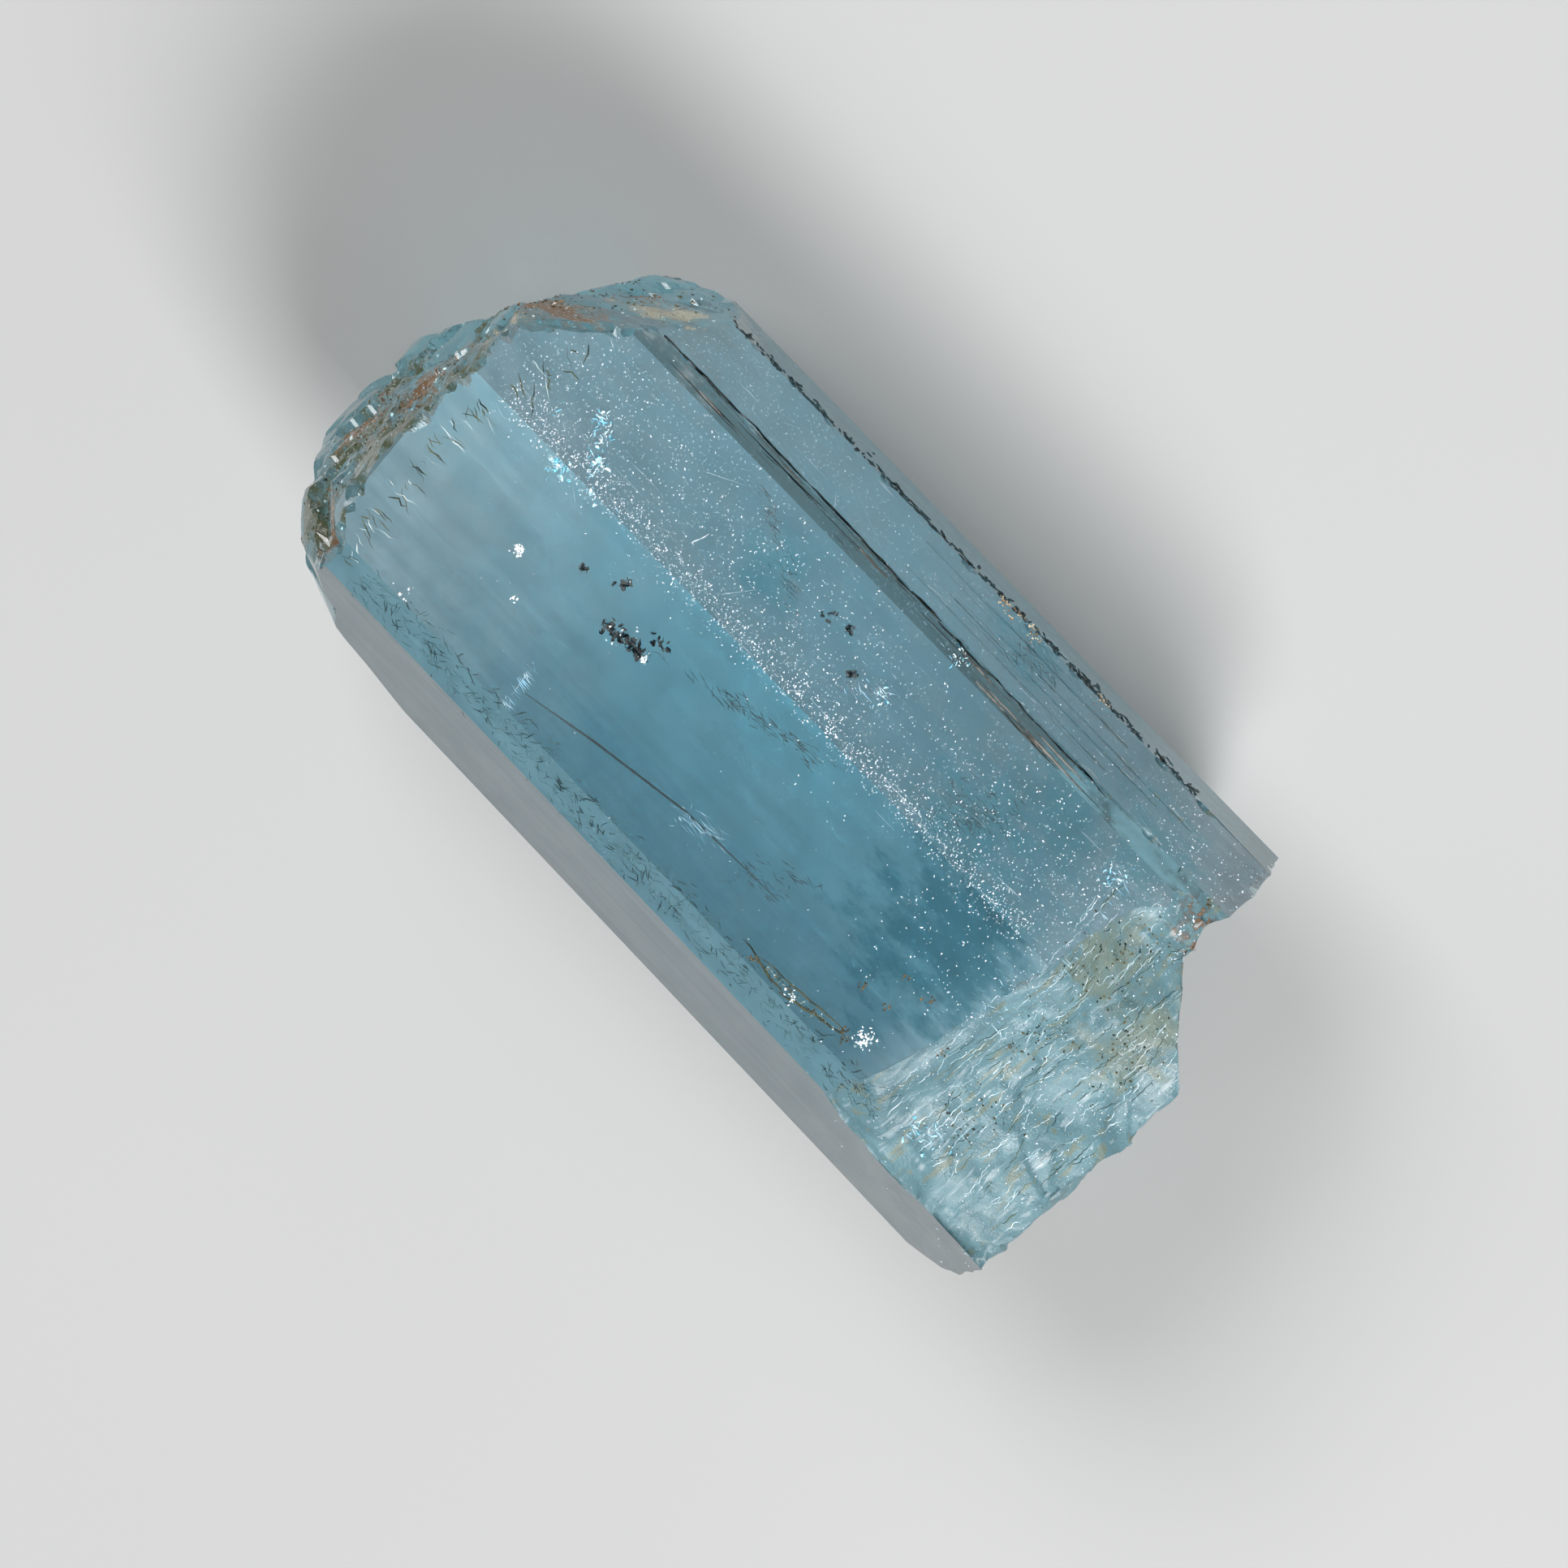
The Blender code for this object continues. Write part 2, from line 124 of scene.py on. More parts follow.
# The finish of each small piece: its dark colour, its light colour, the size of its cloudy
# spots, its lowest roughness, and its specular level, both from 0 to 1.
PIECE_FINISH = {
    "growth_tube": ((0.004, 0.02, 0.025), (0.02, 0.06, 0.07), 0.6, 0.3, 0.15),
    "dark_crystals": ((0.001, 0.001, 0.002), (0.01, 0.025, 0.03), 0.12, 0.4, 0.12),
    # Small white blocks that paint glints.
    "white_glint_blocks": ((0.80, 0.88, 0.90), (0.98, 1.0, 1.0), 0.2, 0.15, 0.5),
    # Bright cyan and white flakes that paint glints.
    "cyan_glint_flakes": ((0.25, 0.78, 1.0), (0.92, 1.0, 1.0), 0.15, 0.1, 0.5),
    "dark_wisps": ((0.01, 0.05, 0.065), (0.05, 0.16, 0.20), 0.4, 0.4, 0.5),
    "blue_veils": ((0.30, 0.60, 0.80), (0.70, 0.90, 1.0), 0.3, 0.3, 0.5),
    "spindle_fill": ((0.05, 0.08, 0.06), (0.45, 0.58, 0.56), 0.2, 0.3, 0.5),
    "spindle_edges": ((0.01, 0.015, 0.005), (0.09, 0.08, 0.03), 0.3, 0.4, 0.5),
    "brown_specks": ((0.03, 0.025, 0.008), (0.20, 0.13, 0.05), 0.2, 0.5, 0.5),
    # Dust grains that over the break and the horn also paint sparkle.
    "dust_and_glint_grains": ((0.42, 0.52, 0.57), (0.92, 0.94, 1.0), 0.3, 0.4, 0.5),
    "bevel_cracks": ((0.002, 0.005, 0.006), (0.03, 0.04, 0.04), 0.5, 0.4, 0.1),
    "bevel_streaks": ((0.07, 0.06, 0.045), (0.24, 0.21, 0.18), 0.5, 0.4, 0.5),
    "scratches": ((0.28, 0.40, 0.44), (0.75, 0.82, 0.88), 0.3, 0.4, 0.5),
    "etch_figures": ((0.008, 0.03, 0.035), (0.07, 0.16, 0.18), 0.5, 0.4, 0.2),
    "dark_rim_cracks": ((0.004, 0.016, 0.014), (0.10, 0.11, 0.05), 0.4, 0.4, 0.15),
    "pale_rim_cracks": ((0.45, 0.60, 0.62), (0.90, 0.96, 0.96), 0.4, 0.2, 0.5),
    "pale_striations": ((0.30, 0.50, 0.55), (0.85, 0.95, 1.0), 0.2, 0.3, 0.5),
    "dark_striations": ((0.01, 0.04, 0.05), (0.10, 0.13, 0.07), 0.5, 0.4, 0.2),
    "break_flecks": ((0.01, 0.03, 0.03), (0.12, 0.10, 0.04), 0.3, 0.5, 0.2),
    "rust_crust": ((0.10, 0.045, 0.015), (0.34, 0.15, 0.05), 0.3, 0.6, 0.5),
    "olive_crust": ((0.01, 0.014, 0.006), (0.11, 0.10, 0.04), 0.3, 0.5, 0.2),
    # Glossy pale flakes that paint the natural top's cyan and white highlights.
    "pale_top_glints": ((0.45, 0.75, 0.80), (0.95, 1.0, 1.0), 0.3, 0.1, 0.5),
    "rim_chips": ((0.003, 0.012, 0.016), (0.02, 0.06, 0.07), 0.5, 0.3, 0.15),
    "edge_spots": ((0.24, 0.11, 0.04), (0.75, 0.64, 0.46), 0.2, 0.5, 0.5),
}


# Sizes and colours -----------------------------------------

class CrystalSettings(bpy.types.PropertyGroup):
    """What a user would change on the crystal itself."""

    absorption_colour: FloatVectorProperty(
        name="Absorption colour", description="The colour the beryl lets through",
        subtype="COLOR", size=3, min=0.0, max=1.0, default=(0.10, 0.62, 0.73))
    absorption_density: FloatProperty(
        name="Absorption density", description="How strongly the beryl colours light",
        default=92.0, min=0.0)
    refraction: FloatProperty(
        name="Index of refraction", description="Of beryl", default=1.577, min=1.0)
    top_relief: FloatProperty(
        name="Top relief", description="How deep the natural top is eaten away",
        default=0.16 * MM, unit="LENGTH")
    break_relief: FloatProperty(
        name="Break relief", description="How deep the fine roughness of the break is",
        default=0.07 * MM, unit="LENGTH")


class StageSettings(bpy.types.PropertyGroup):
    """The floor, the lights and the camera."""

    frame_width: FloatProperty(
        name="Picture width", description="What the picture spans at the crystal's top",
        default=34.7 * MM, unit="LENGTH")
    lens: FloatProperty(name="Lens", description="Focal length in millimetres", default=400.0)
    view_lean: FloatProperty(
        name="View lean", description="How far the view leans from straight down towards -Y",
        subtype="ANGLE", default=math.radians(15.0))
    view_tilt: FloatProperty(
        name="View tilt", description="How far the view tilts towards the natural top",
        subtype="ANGLE", default=math.radians(9.0))
    view_roll: FloatProperty(
        name="View roll", description="How far the crystal's axis dips from level",
        subtype="ANGLE", default=math.radians(45.97))
    target: FloatVectorProperty(
        name="Target", description="The point that the camera looks at",
        subtype="TRANSLATION", default=(0.611 * MM, -0.376 * MM, 9.97 * MM))


# Small helpers ---------------------------------------------

def only(piece):
    """Select one object and make it the active one."""
    bpy.ops.object.select_all(action="DESELECT")
    piece.select_set(True)
    bpy.context.view_layer.objects.active = piece


@contextlib.contextmanager
def edit_mode():
    """Edit mode on the active object, left again at the end."""
    bpy.ops.object.mode_set(mode="EDIT")
    yield
    bpy.ops.object.mode_set(mode="OBJECT")


def turn_outwards():
    """In edit mode, turn every face of the mesh outwards."""
    bpy.ops.mesh.select_all(action="SELECT")
    bpy.ops.mesh.normals_make_consistent(inside=False)


def face_direction(degrees):
    """The outward direction of a side face, turned from straight up towards -Y."""
    angle = math.radians(degrees)
    return Vector((0.0, -math.sin(angle), math.cos(angle)))


class Nodes:
    """A shader tree with short ways to add the nodes that the finishes use."""

    # A noise of 1 draws a blotch in by FRAY radii. So drawn in, it is whole up to WHOLE
    # radii and gone from FADED radii on.
    FRAY, WHOLE, FADED = 3.6, 2.1, 3.1

    def __init__(self, name):
        self.material = bpy.data.materials.new(name)
        self.material.use_nodes = True
        self.tree = self.material.node_tree
        self.shader = self.tree.nodes["Principled BSDF"]
        self.output = self.tree.nodes["Material Output"]

    def add(self, kind, inputs=None, **options):
        """Add a node, set its options, and set or link its inputs."""
        made = self.tree.nodes.new(kind)
        for name, value in options.items():
            setattr(made, name, value)
        for key, value in (inputs or {}).items():
            self.join(value, made.inputs[key])
        return made

    def finish(self, **inputs):
        """Set or link the shader's inputs."""
        for key, value in inputs.items():
            self.join(value, self.shader.inputs[key.replace("_", " ")])

    def join(self, value, socket):
        """Link an output to an input, or set the input to a plain value."""
        if isinstance(value, bpy.types.NodeSocket):
            self.tree.links.new(value, socket)
        else:
            socket.default_value = value

    def math(self, operation, a, b, clamp=False):
        """One sum, product or comparison."""
        return self.add("ShaderNodeMath", {0: a, 1: b}, operation=operation,
                        use_clamp=clamp).outputs[0]

    def ramp(self, value, low, high, to_low=0.0, to_high=1.0):
        """A value carried smoothly from one range to another and held at its ends."""
        return self.add("ShaderNodeMapRange",
                        {"Value": value, "From Min": low, "From Max": high,
                         "To Min": to_low, "To Max": to_high},
                        interpolation_type="SMOOTHSTEP").outputs["Result"]

    def mix(self, share, a, b):
        """Two colours mixed."""
        made = self.add("ShaderNodeMix", {0: share, 6: a, 7: b}, data_type="RGBA")
        return made.outputs[2]

    def millimetres(self, stretch=(1.0, 1.0, 1.0)):
        """The place on the object, in millimetres, stretched along each axis."""
        place = self.add("ShaderNodeTexCoord").outputs["Object"]
        scale = [factor / MM for factor in stretch]
        return self.add("ShaderNodeMapping", {"Vector": place, "Scale": scale}).outputs[0]

    def noise(self, vector, scale, detail, roughness=0.5):
        """Cloudy noise between 0 and 1."""
        return self.add("ShaderNodeTexNoise",
                        {"Vector": vector, "Scale": scale, "Detail": detail,
                         "Roughness": roughness}).outputs[0]

    def blotch(self, centre, radius, clouds, stretch=(1.0, 1.0, 1.0)):
        """A soft cloud around a place, in millimetres, its edge frayed by a noise."""
        away = self.add("ShaderNodeVectorMath", {0: self.millimetres(stretch), 1: centre},
                        operation="DISTANCE").outputs["Value"]
        drawn = self.math("ADD", away, self.math("MULTIPLY", clouds, self.FRAY * radius))
        return self.ramp(drawn, self.FADED * radius, self.WHOLE * radius)

    def blotches(self, patches, clouds, stretch=(1.0, 1.0, 1.0)):
        """The strongest of some blotches, each given as (x, y, z, radius)."""
        strongest = 0.0
        for *centre, radius in patches:
            cloud = self.blotch(centre, radius, clouds, stretch)
            strongest = self.math("MAXIMUM", strongest, cloud)
        return strongest


# The crystal -----------------------------------------------

# Vertices that are closer than this are one vertex.
WELD = 0.002 * MM
# Faces that meet at less than this angle are one flat face.
FLAT = math.radians(0.3)
# Edges that turn by more than this are drawn sharp.
SHARP = math.radians(32.0)
# The least area of a flat face that counts as one of the crystal's own planes.
LEAST_PLANE = 0.9 * MM * MM
# A face lies in a plane if the cosine between their normals is over the first of these
# and its distance from the plane is under the second.
SAME_WAY = 0.99998
SAME_PLACE = 0.004 * MM
# Side faces have a normal that turns less than this towards X, as a sine, and the faces of
# the natural top have one that turns more than this towards +X.
SIDE_FACE = 0.05
TOP_FACE = 0.1


def merged_copy(packed, name):
    """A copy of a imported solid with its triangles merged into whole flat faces."""
    piece = packed.copy()
    piece.data = packed.data.copy()
    piece.name = name
    bpy.context.scene.collection.objects.link(piece)
    only(piece)
    with edit_mode():
        bpy.ops.mesh.select_all(action="SELECT")
        bpy.ops.mesh.remove_doubles(threshold=WELD)
        bpy.ops.mesh.dissolve_limited(angle_limit=FLAT)
    return piece


def flat_planes(mesh):
    """The planes of the large flat faces, as (normal, distance from the origin)."""
    planes = []
    for face in mesh.polygons:
        distance = face.normal.dot(face.center)
        if face.area > LEAST_PLANE and plane_of(face, planes) is None:
            planes.append((face.normal.copy(), distance))
    return planes


def plane_of(face, planes):
    """The plane that a face lies in, or None."""
    for normal, distance in planes:
        off = abs(face.normal.dot(face.center) - distance)
        if normal.dot(face.normal) > SAME_WAY and off < SAME_PLACE:
            return normal, distance
    return None


def cut_away(piece, cutter):
    """Cut one closed mesh out of another and remove the cutter."""
    only(piece)
    boolean = piece.modifiers.new("cut", "BOOLEAN")
    boolean.operation = "DIFFERENCE"
    boolean.solver = "EXACT"
    boolean.object = cutter
    bpy.ops.object.modifier_apply(modifier=boolean.name)
    bpy.data.objects.remove(cutter)


def pick(piece, faces=(), verts=()):
    """Select some faces or vertices of a mesh, and nothing else, for edit mode."""
    only(piece)
    mesh = piece.data
    bpy.context.tool_settings.mesh_select_mode = (bool(verts), False, bool(faces))
    mesh.polygons.foreach_set("select", [face.index in faces for face in mesh.polygons])
    mesh.edges.foreach_set("select", [False] * len(mesh.edges))
    mesh.vertices.foreach_set("select", [vert.index in verts for vert in mesh.vertices])


def shatter(mesh, indices, count, tilt, sink, rng, inward=None):
    """Break a patch of a mesh into flat plates, each tilted and sunk in its own way."""
    places = [mesh.vertices[index].co.copy() for index in indices]
    centres = rng.sample(places, min(count, len(places)))
    nearest = KDTree(len(centres))
    for number, centre in enumerate(centres):
        nearest.insert(centre, number)
    nearest.balance()
    slopes = [Vector([rng.gauss(0.0, tilt) for _ in range(3)]) for _ in centres]
    sinks = [rng.uniform(0.0, sink) for _ in centres]
    ways = [inward or -mesh.vertices[index].normal.copy() for index in indices]
    for index, place, way in zip(indices, places, ways):
        _, number, _ = nearest.find(place)
        depth = sinks[number] + slopes[number].dot(place - centres[number])
        mesh.vertices[index].co = place + way * max(depth, 0.0)


# The plates of the natural top: how many, how steep, and how deep as a share of its relief.
TOP_PLATES = ((110, 0.20, 1.0), (420, 0.16, 0.3))
# The lid that eats the top: cells along each side, width, thickness, and how far it starts
# below the top's planes.
LID_CELLS = 150
LID_WIDTH = 13.0 * MM
LID_THICKNESS = 4.0 * MM
LID_SINK = 0.02 * MM


def eat_top(crystal, planes, depth):
    """Eat the faces of the natural top away with a lid whose inner side is stepped."""
    rng = random.Random(5)
    top = [(normal, distance) for normal, distance in planes if normal.x > TOP_FACE]
    bpy.ops.object.select_all(action="DESELECT")
    bpy.ops.mesh.primitive_grid_add(
        x_subdivisions=LID_CELLS, y_subdivisions=LID_CELLS, size=LID_WIDTH,
        location=(0.0, 0.0, CAD_HIGH.z / 2), rotation=(0.0, math.pi / 2, 0.0))
    lid = bpy.context.object
    bpy.ops.object.transform_apply()
    for vert in lid.data.vertices:
        place = vert.co
        place.x = min((distance - normal.y * place.y - normal.z * place.z) / normal.x
                      for normal, distance in top) - LID_SINK
    inward = Vector((-1.0, 0.0, 0.0))
    for count, tilt, share in TOP_PLATES:
        shatter(lid.data, range(len(lid.data.vertices)), count, tilt, share * depth, rng, inward)
    with edit_mode():
        bpy.ops.mesh.select_all(action="SELECT")
        bpy.ops.mesh.extrude_region_move(
            TRANSFORM_OT_translate={"value": (LID_THICKNESS, 0.0, 0.0)})
        turn_outwards()
    cut_away(crystal, lid)


# The plates of the break, given like those of the top.
BREAK_PLATES = ((50, 0.06, 0.5), (900, 0.05, 0.2))
# The ripples of the break: their share of the height, and how many there are in a
# millimetre along X and Z and along Y.
BREAK_RIPPLES = ((1.0, 3.6, 0.5), (0.6, 8.0, 1.4))
# How deep the ripples are as a share of the break's relief.
RIPPLE_DEPTH = 0.5
# Faces of no plane are made rough where their middle lies below this along X.
ROUGH_BELOW = -4.0 * MM


def roughen_break(crystal, planes, depth):
    """Give the broken faces finer plates and long ripples."""
    rng = random.Random(8)
    mesh = crystal.data
    chosen = {face.index for face in mesh.polygons
              if face.center.x < ROUGH_BELOW and plane_of(face, planes) is None}
    pick(crystal, faces=chosen)
    with edit_mode():
        bpy.ops.mesh.subdivide(number_cuts=3, smoothness=0.0)
    whole = set()
    rim = set()
    for face in mesh.polygons:
        (whole if face.select else rim).update(face.vertices)
    inner = sorted(whole - rim)
    pick(crystal, verts=whole - rim)
    with edit_mode():
        bpy.ops.mesh.vertices_smooth(factor=0.5, repeat=3)
    for count, tilt, share in BREAK_PLATES:
        shatter(mesh, inner, count, tilt, share * depth, rng)
    ways = [mesh.vertices[index].normal.copy() for index in inner]
    for index, way in zip(inner, ways):
        x, y, z = mesh.vertices[index].co / MM
        ripple = sum(share * noise.noise((across * x, along * y, across * z))
                     for share, across, along in BREAK_RIPPLES)
        mesh.vertices[index].co += way * (RIPPLE_DEPTH * depth * min(ripple, 0.0))


# Along X, the natural top's faces lie above the first of these, and the break's faces lie
# below the second.
TOP_ABOVE = 8.0 * MM
BROKEN_BELOW = -4.5 * MM


def mark_faces(crystal, planes):
    """Write down each face's haze (colour and amount) and wear (roughness, crust, break)."""
    mesh = crystal.data
    mesh.set_sharp_from_angle(angle=SHARP)
    mesh.attributes.new("haze", "FLOAT_COLOR", "FACE")
    mesh.attributes.new("wear", "FLOAT_VECTOR", "FACE")
    haze, wear = mesh.attributes["haze"].data, mesh.attributes["wear"].data
    for face in mesh.polygons:
        plane = plane_of(face, planes)
        crust, broken = 0.0, 0.0
        if plane is not None and abs(plane[0].x) < SIDE_FACE:
            way = min(FACE_FINISH, key=lambda degrees: (face_direction(degrees)
                                                        - plane[0]).length)
            rough, amount, colour = FACE_FINISH[way]
        elif face.center.x > TOP_ABOVE and face.normal.x > TOP_FACE:
            rough, amount, colour = TOP_FINISH
            crust = 1.0
        elif face.center.x < BROKEN_BELOW:
            rough, amount, colour = BREAK_FINISH
            broken = 1.0
        else:
            rough, amount, colour = NICK_FINISH
        face.use_smooth = broken > 0.5
        haze[face.index].color = (*colour, amount)
        wear[face.index].vector = (rough, crust, broken)


def haze_amount(n, haze, place, clouds, streaks):
    """How hazy each place is: cloudy, streaky, and hazier towards both ends."""
    x = n.add("ShaderNodeSeparateXYZ", {0: place}).outputs[0]
    ends = n.math("MAXIMUM", n.ramp(x, 3.0, 12.0, 0.0, 0.10), n.ramp(x, -4.5, -7.5, 0.0, 0.16))
    amount = n.math("ADD", haze.outputs["Alpha"], ends)
    amount = n.math("MULTIPLY", amount, n.ramp(clouds, 0.30, 0.70, 0.85, 1.15))
    return n.math("MULTIPLY", amount, n.ramp(streaks, 0.30, 0.70, 0.88, 1.12))


def coat_shares(n, crust, broken, amount, frays, layers, fine):
    """How much there is of each coat at each place, from 0 to 1."""
    flat = (0.0, 1.0, 1.0)
    stains = [n.math("MULTIPLY", crust, n.blotches([(0.0, *stain) for stain in places],
                                                   frays, flat))
              for places in (RUST_STAINS, OLIVE_STAINS, CREAM_STAINS)]
    notch = n.math("MULTIPLY", n.blotches(NOTCH_PATCHES, frays), n.ramp(layers, 0.46, 0.56))
    tan = n.math("MAXIMUM", n.ramp(layers, 0.44, 0.34), n.blotches(SHADED_PATCHES, frays))
    speckle = n.math("MULTIPLY", n.ramp(fine, 0.60, 0.72), n.ramp(amount, 0.10, 0.18))
    return {
        "deep": n.blotches(DEEP_PATCHES, frays),
        "grey": n.blotches(GREY_PATCHES, frays),
        "olive": stains[1],
        "tan": n.math("MULTIPLY", broken, tan),
        "rust": n.math("MAXIMUM", notch, stains[0]),
        "cream": stains[2],
        "speckle": n.math("MULTIPLY", speckle, n.ramp(amount, 0.45, 0.30)),
        "veins": n.math("MULTIPLY", broken, n.ramp(layers, 0.58, 0.72, 0.0, 0.6)),
    }


def beryl_material(settings):
    """Clear blue beryl: etched, hazy, stained or broken where its faces say so."""
    n = Nodes("aquamarine")
    place = n.millimetres()
    haze = n.add("ShaderNodeAttribute", attribute_name="haze")
    wear = n.add("ShaderNodeAttribute", attribute_name="wear").outputs["Vector"]
    rough, crust, broken = n.add("ShaderNodeSeparateXYZ", {0: wear}).outputs

    clouds = n.noise(place, 0.9, 3.0, 0.6)
    frays = n.noise(n.millimetres((0.5, 1.0, 1.0)), 1.9, 4.0, 0.7)
    streaks = n.noise(n.millimetres((0.05, 1.0, 1.0)), 3.0, 2.0, 0.6)
    fine = n.noise(place, 16.0, 1.0, 0.6)
    layers = n.noise(n.millimetres((1.0, 0.12, 1.0)), 4.0, 2.0, 0.7)

    amount = haze_amount(n, haze, place, clouds, streaks)
    shares = coat_shares(n, crust, broken, amount, frays, layers, fine)
    colour, cover = haze.outputs["Color"], amount
    for name, (tint, tinting, clouding) in COATS.items():
        colour = n.mix(n.math("MULTIPLY", shares[name], tinting), colour, (*tint, 1.0))
        cover = n.math("MAXIMUM", cover, n.math("MULTIPLY", shares[name], clouding))
    clear = n.math("SUBTRACT", 1.0, cover, clamp=True)

    worn = n.math("MULTIPLY", rough, n.ramp(streaks, 0.30, 0.70, 0.7, 1.0))
    sugar = n.math("ADD", layers, n.math("MULTIPLY", fine, 0.7))
    height = n.math("ADD", n.math("MULTIPLY", streaks, 0.05), n.math("MULTIPLY", broken, sugar))
    bump = n.add("ShaderNodeBump", {"Strength": 0.6, "Distance": 0.03 * MM,
                                    "Height": height})
    n.finish(Base_Color=colour, Roughness=worn, Transmission_Weight=clear,
             Normal=bump.outputs[0], IOR=settings.refraction)
    volume = n.add("ShaderNodeVolumeAbsorption",
                   {"Color": (*settings.absorption_colour, 1.0),
                    "Density": settings.absorption_density})
    n.tree.links.new(volume.outputs[0], n.output.inputs["Volume"])
    return n.material


class AQUAMARINE_OT_crystal(bpy.types.Operator):
    """Dress the crystal's solid."""

    bl_idname = "aquamarine.crystal"
    bl_label = "Crystal"

    def execute(self, context):
        settings = context.scene.aquamarine_crystal
        crystal = merged_copy(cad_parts["crystal"], "beryl")
        planes = flat_planes(crystal.data)
        eat_top(crystal, planes, settings.top_relief)
        roughen_break(crystal, planes, settings.break_relief)
        hold_in_box(crystal.data)
        mark_faces(crystal, planes)
        bpy.ops.object.select_all(action="DESELECT")
        crystal.data.materials.clear()
        crystal.data.materials.append(beryl_material(settings))
        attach(crystal, "root")
        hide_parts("crystal")
        return {"FINISHED"}


# Finding places on the crystal and filling them ------------

# The way in that keeps a buried thing behind its place on the face, as the camera sees it.
SIGHT = Vector((-0.10, 0.16, -0.98))
# Where the rays that look for the surface start, outside the crystal.
OUTSIDE = 30.0


class Skin:
    """Finds places on the crystal's surface, given in millimetres."""

    def __init__(self):
        crystal = bpy.data.objects["beryl"]
        self.tree = BVHTree.FromObject(crystal, bpy.context.evaluated_depsgraph_get())

    def cast(self, start, direction):
        """The first place that a ray meets and the normal there, or (None, None)."""
        return self.tree.ray_cast(Vector(start) * MM, Vector(direction))[:2]

    def above(self, x, y):
        """Seen from straight above."""
        return self.cast((x, y, OUTSIDE), (0.0, 0.0, -1.0))

    def top(self, y, z):
        """Seen from in front of the natural top."""
        return self.cast((OUTSIDE, y, z), (-1.0, 0.0, 0.0))

    def near(self, x, z):
        """Seen from the near side."""
        return self.cast((x, -OUTSIDE, z), (0.0, 1.0, 0.0))

    def under(self, x, y, depth):
        """A place inside, under a place on the upper faces."""
        return self.above(x, y)[0] + SIGHT * (depth * MM)


def hold_in_box(mesh):
    """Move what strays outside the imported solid's box back to the box's side."""
    for vert in mesh.vertices:
        vert.co = Vector(map(max, CAD_LOW, map(min, CAD_HIGH, vert.co)))


def mottled(name):
    """A piece's own finish, of two colours in cloudy spots."""
    dark, light, size, roughness, specular = PIECE_FINISH[name]
    n = Nodes(name)
    spots = n.noise(n.millimetres(), 1.0 / size, 3.0, 0.65)
    colour = n.mix(n.ramp(spots, 0.4, 0.6), (*dark, 1.0), (*light, 1.0))
    n.finish(Base_Color=colour, Roughness=n.ramp(spots, 0.3, 0.7, roughness, roughness + 0.2),
             Specular_IOR_Level=specular)
    return n.material


def keep(piece):
    """Give a finished piece its material and let it ride on the crystal."""
    hold_in_box(piece.data)
    piece.data.materials.clear()
    piece.data.materials.append(mottled(piece.name))
    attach(piece, "root")
    bpy.ops.object.select_all(action="DESELECT")


def grain_shape():
    """An uneven lump, one millimetre across."""
    bpy.ops.object.select_all(action="DESELECT")
    bpy.ops.mesh.primitive_ico_sphere_add(subdivisions=1, radius=0.5 * MM)
    with edit_mode():
        bpy.ops.transform.vertex_random(offset=0.22 * MM, seed=4)
    return bpy.context.object


def flake_shape():
    """A thin uneven flake, one millimetre across."""
    bpy.ops.object.select_all(action="DESELECT")
    bpy.ops.mesh.primitive_circle_add(vertices=7, radius=0.5 * MM, fill_type="NGON")
    with edit_mode():
        bpy.ops.transform.vertex_random(offset=0.16 * MM, seed=2)
        bpy.ops.mesh.extrude_region_move(TRANSFORM_OT_translate={"value": (0.0, 0.0, 0.06 * MM)})
        turn_outwards()
    return bpy.context.object


def block_shape():
    """A block with worn edges, one millimetre along each side."""
    bpy.ops.object.select_all(action="DESELECT")
    bpy.ops.mesh.primitive_cube_add(size=1.0 * MM)
    with edit_mode():
        bpy.ops.mesh.select_all(action="SELECT")
        bpy.ops.mesh.bevel(offset=0.08 * MM, segments=1)
    return bpy.context.object


def strew(name, shape, spots):
    """Join copies of one small shape, each at its own place, turn and size."""
    heap = bmesh.new()
    for place, normal, turn, size in spots:
        copy = shape.data.copy()
        stand = Vector(normal).to_track_quat("Z", "Y") @ Euler(turn).to_quaternion()
        copy.transform(Matrix.LocRotScale(place, stand, Vector(size)))
        heap.from_mesh(copy)
        bpy.data.meshes.remove(copy)
    mesh = bpy.data.meshes.new(name)
    heap.to_mesh(mesh)
    heap.free()
    bpy.data.objects.remove(shape)
    piece = bpy.data.objects.new(name, mesh)
    bpy.context.scene.collection.objects.link(piece)
    keep(piece)


def threads(name, runs):
    """Fine tapering threads, each a list of (place, radius in millimetres).

    Those that stay on the crystal for fewer than three places are left out.
    """
    curve = bpy.data.curves.new(name, "CURVE")
    curve.dimensions = "3D"
    curve.bevel_depth = 1.0 * MM
    curve.bevel_resolution = 0
    curve.use_fill_caps = True
    for run in (run for run in runs if len(run) > 2):
        spline = curve.splines.new("POLY")
        spline.points.add(len(run) - 1)
        for point, (place, radius) in zip(spline.points, run):
            point.co = (*place, 1.0)
            point.radius = radius
    piece = bpy.data.objects.new(name, curve)
    bpy.context.scene.collection.objects.link(piece)
    only(piece)
    bpy.ops.object.convert(target="MESH")
    with edit_mode():
        bpy.ops.mesh.select_all(action="SELECT")
        bpy.ops.mesh.remove_doubles(threshold=0.0005 * MM)
        bpy.ops.mesh.normals_make_consistent(inside=False)
    keep(piece)


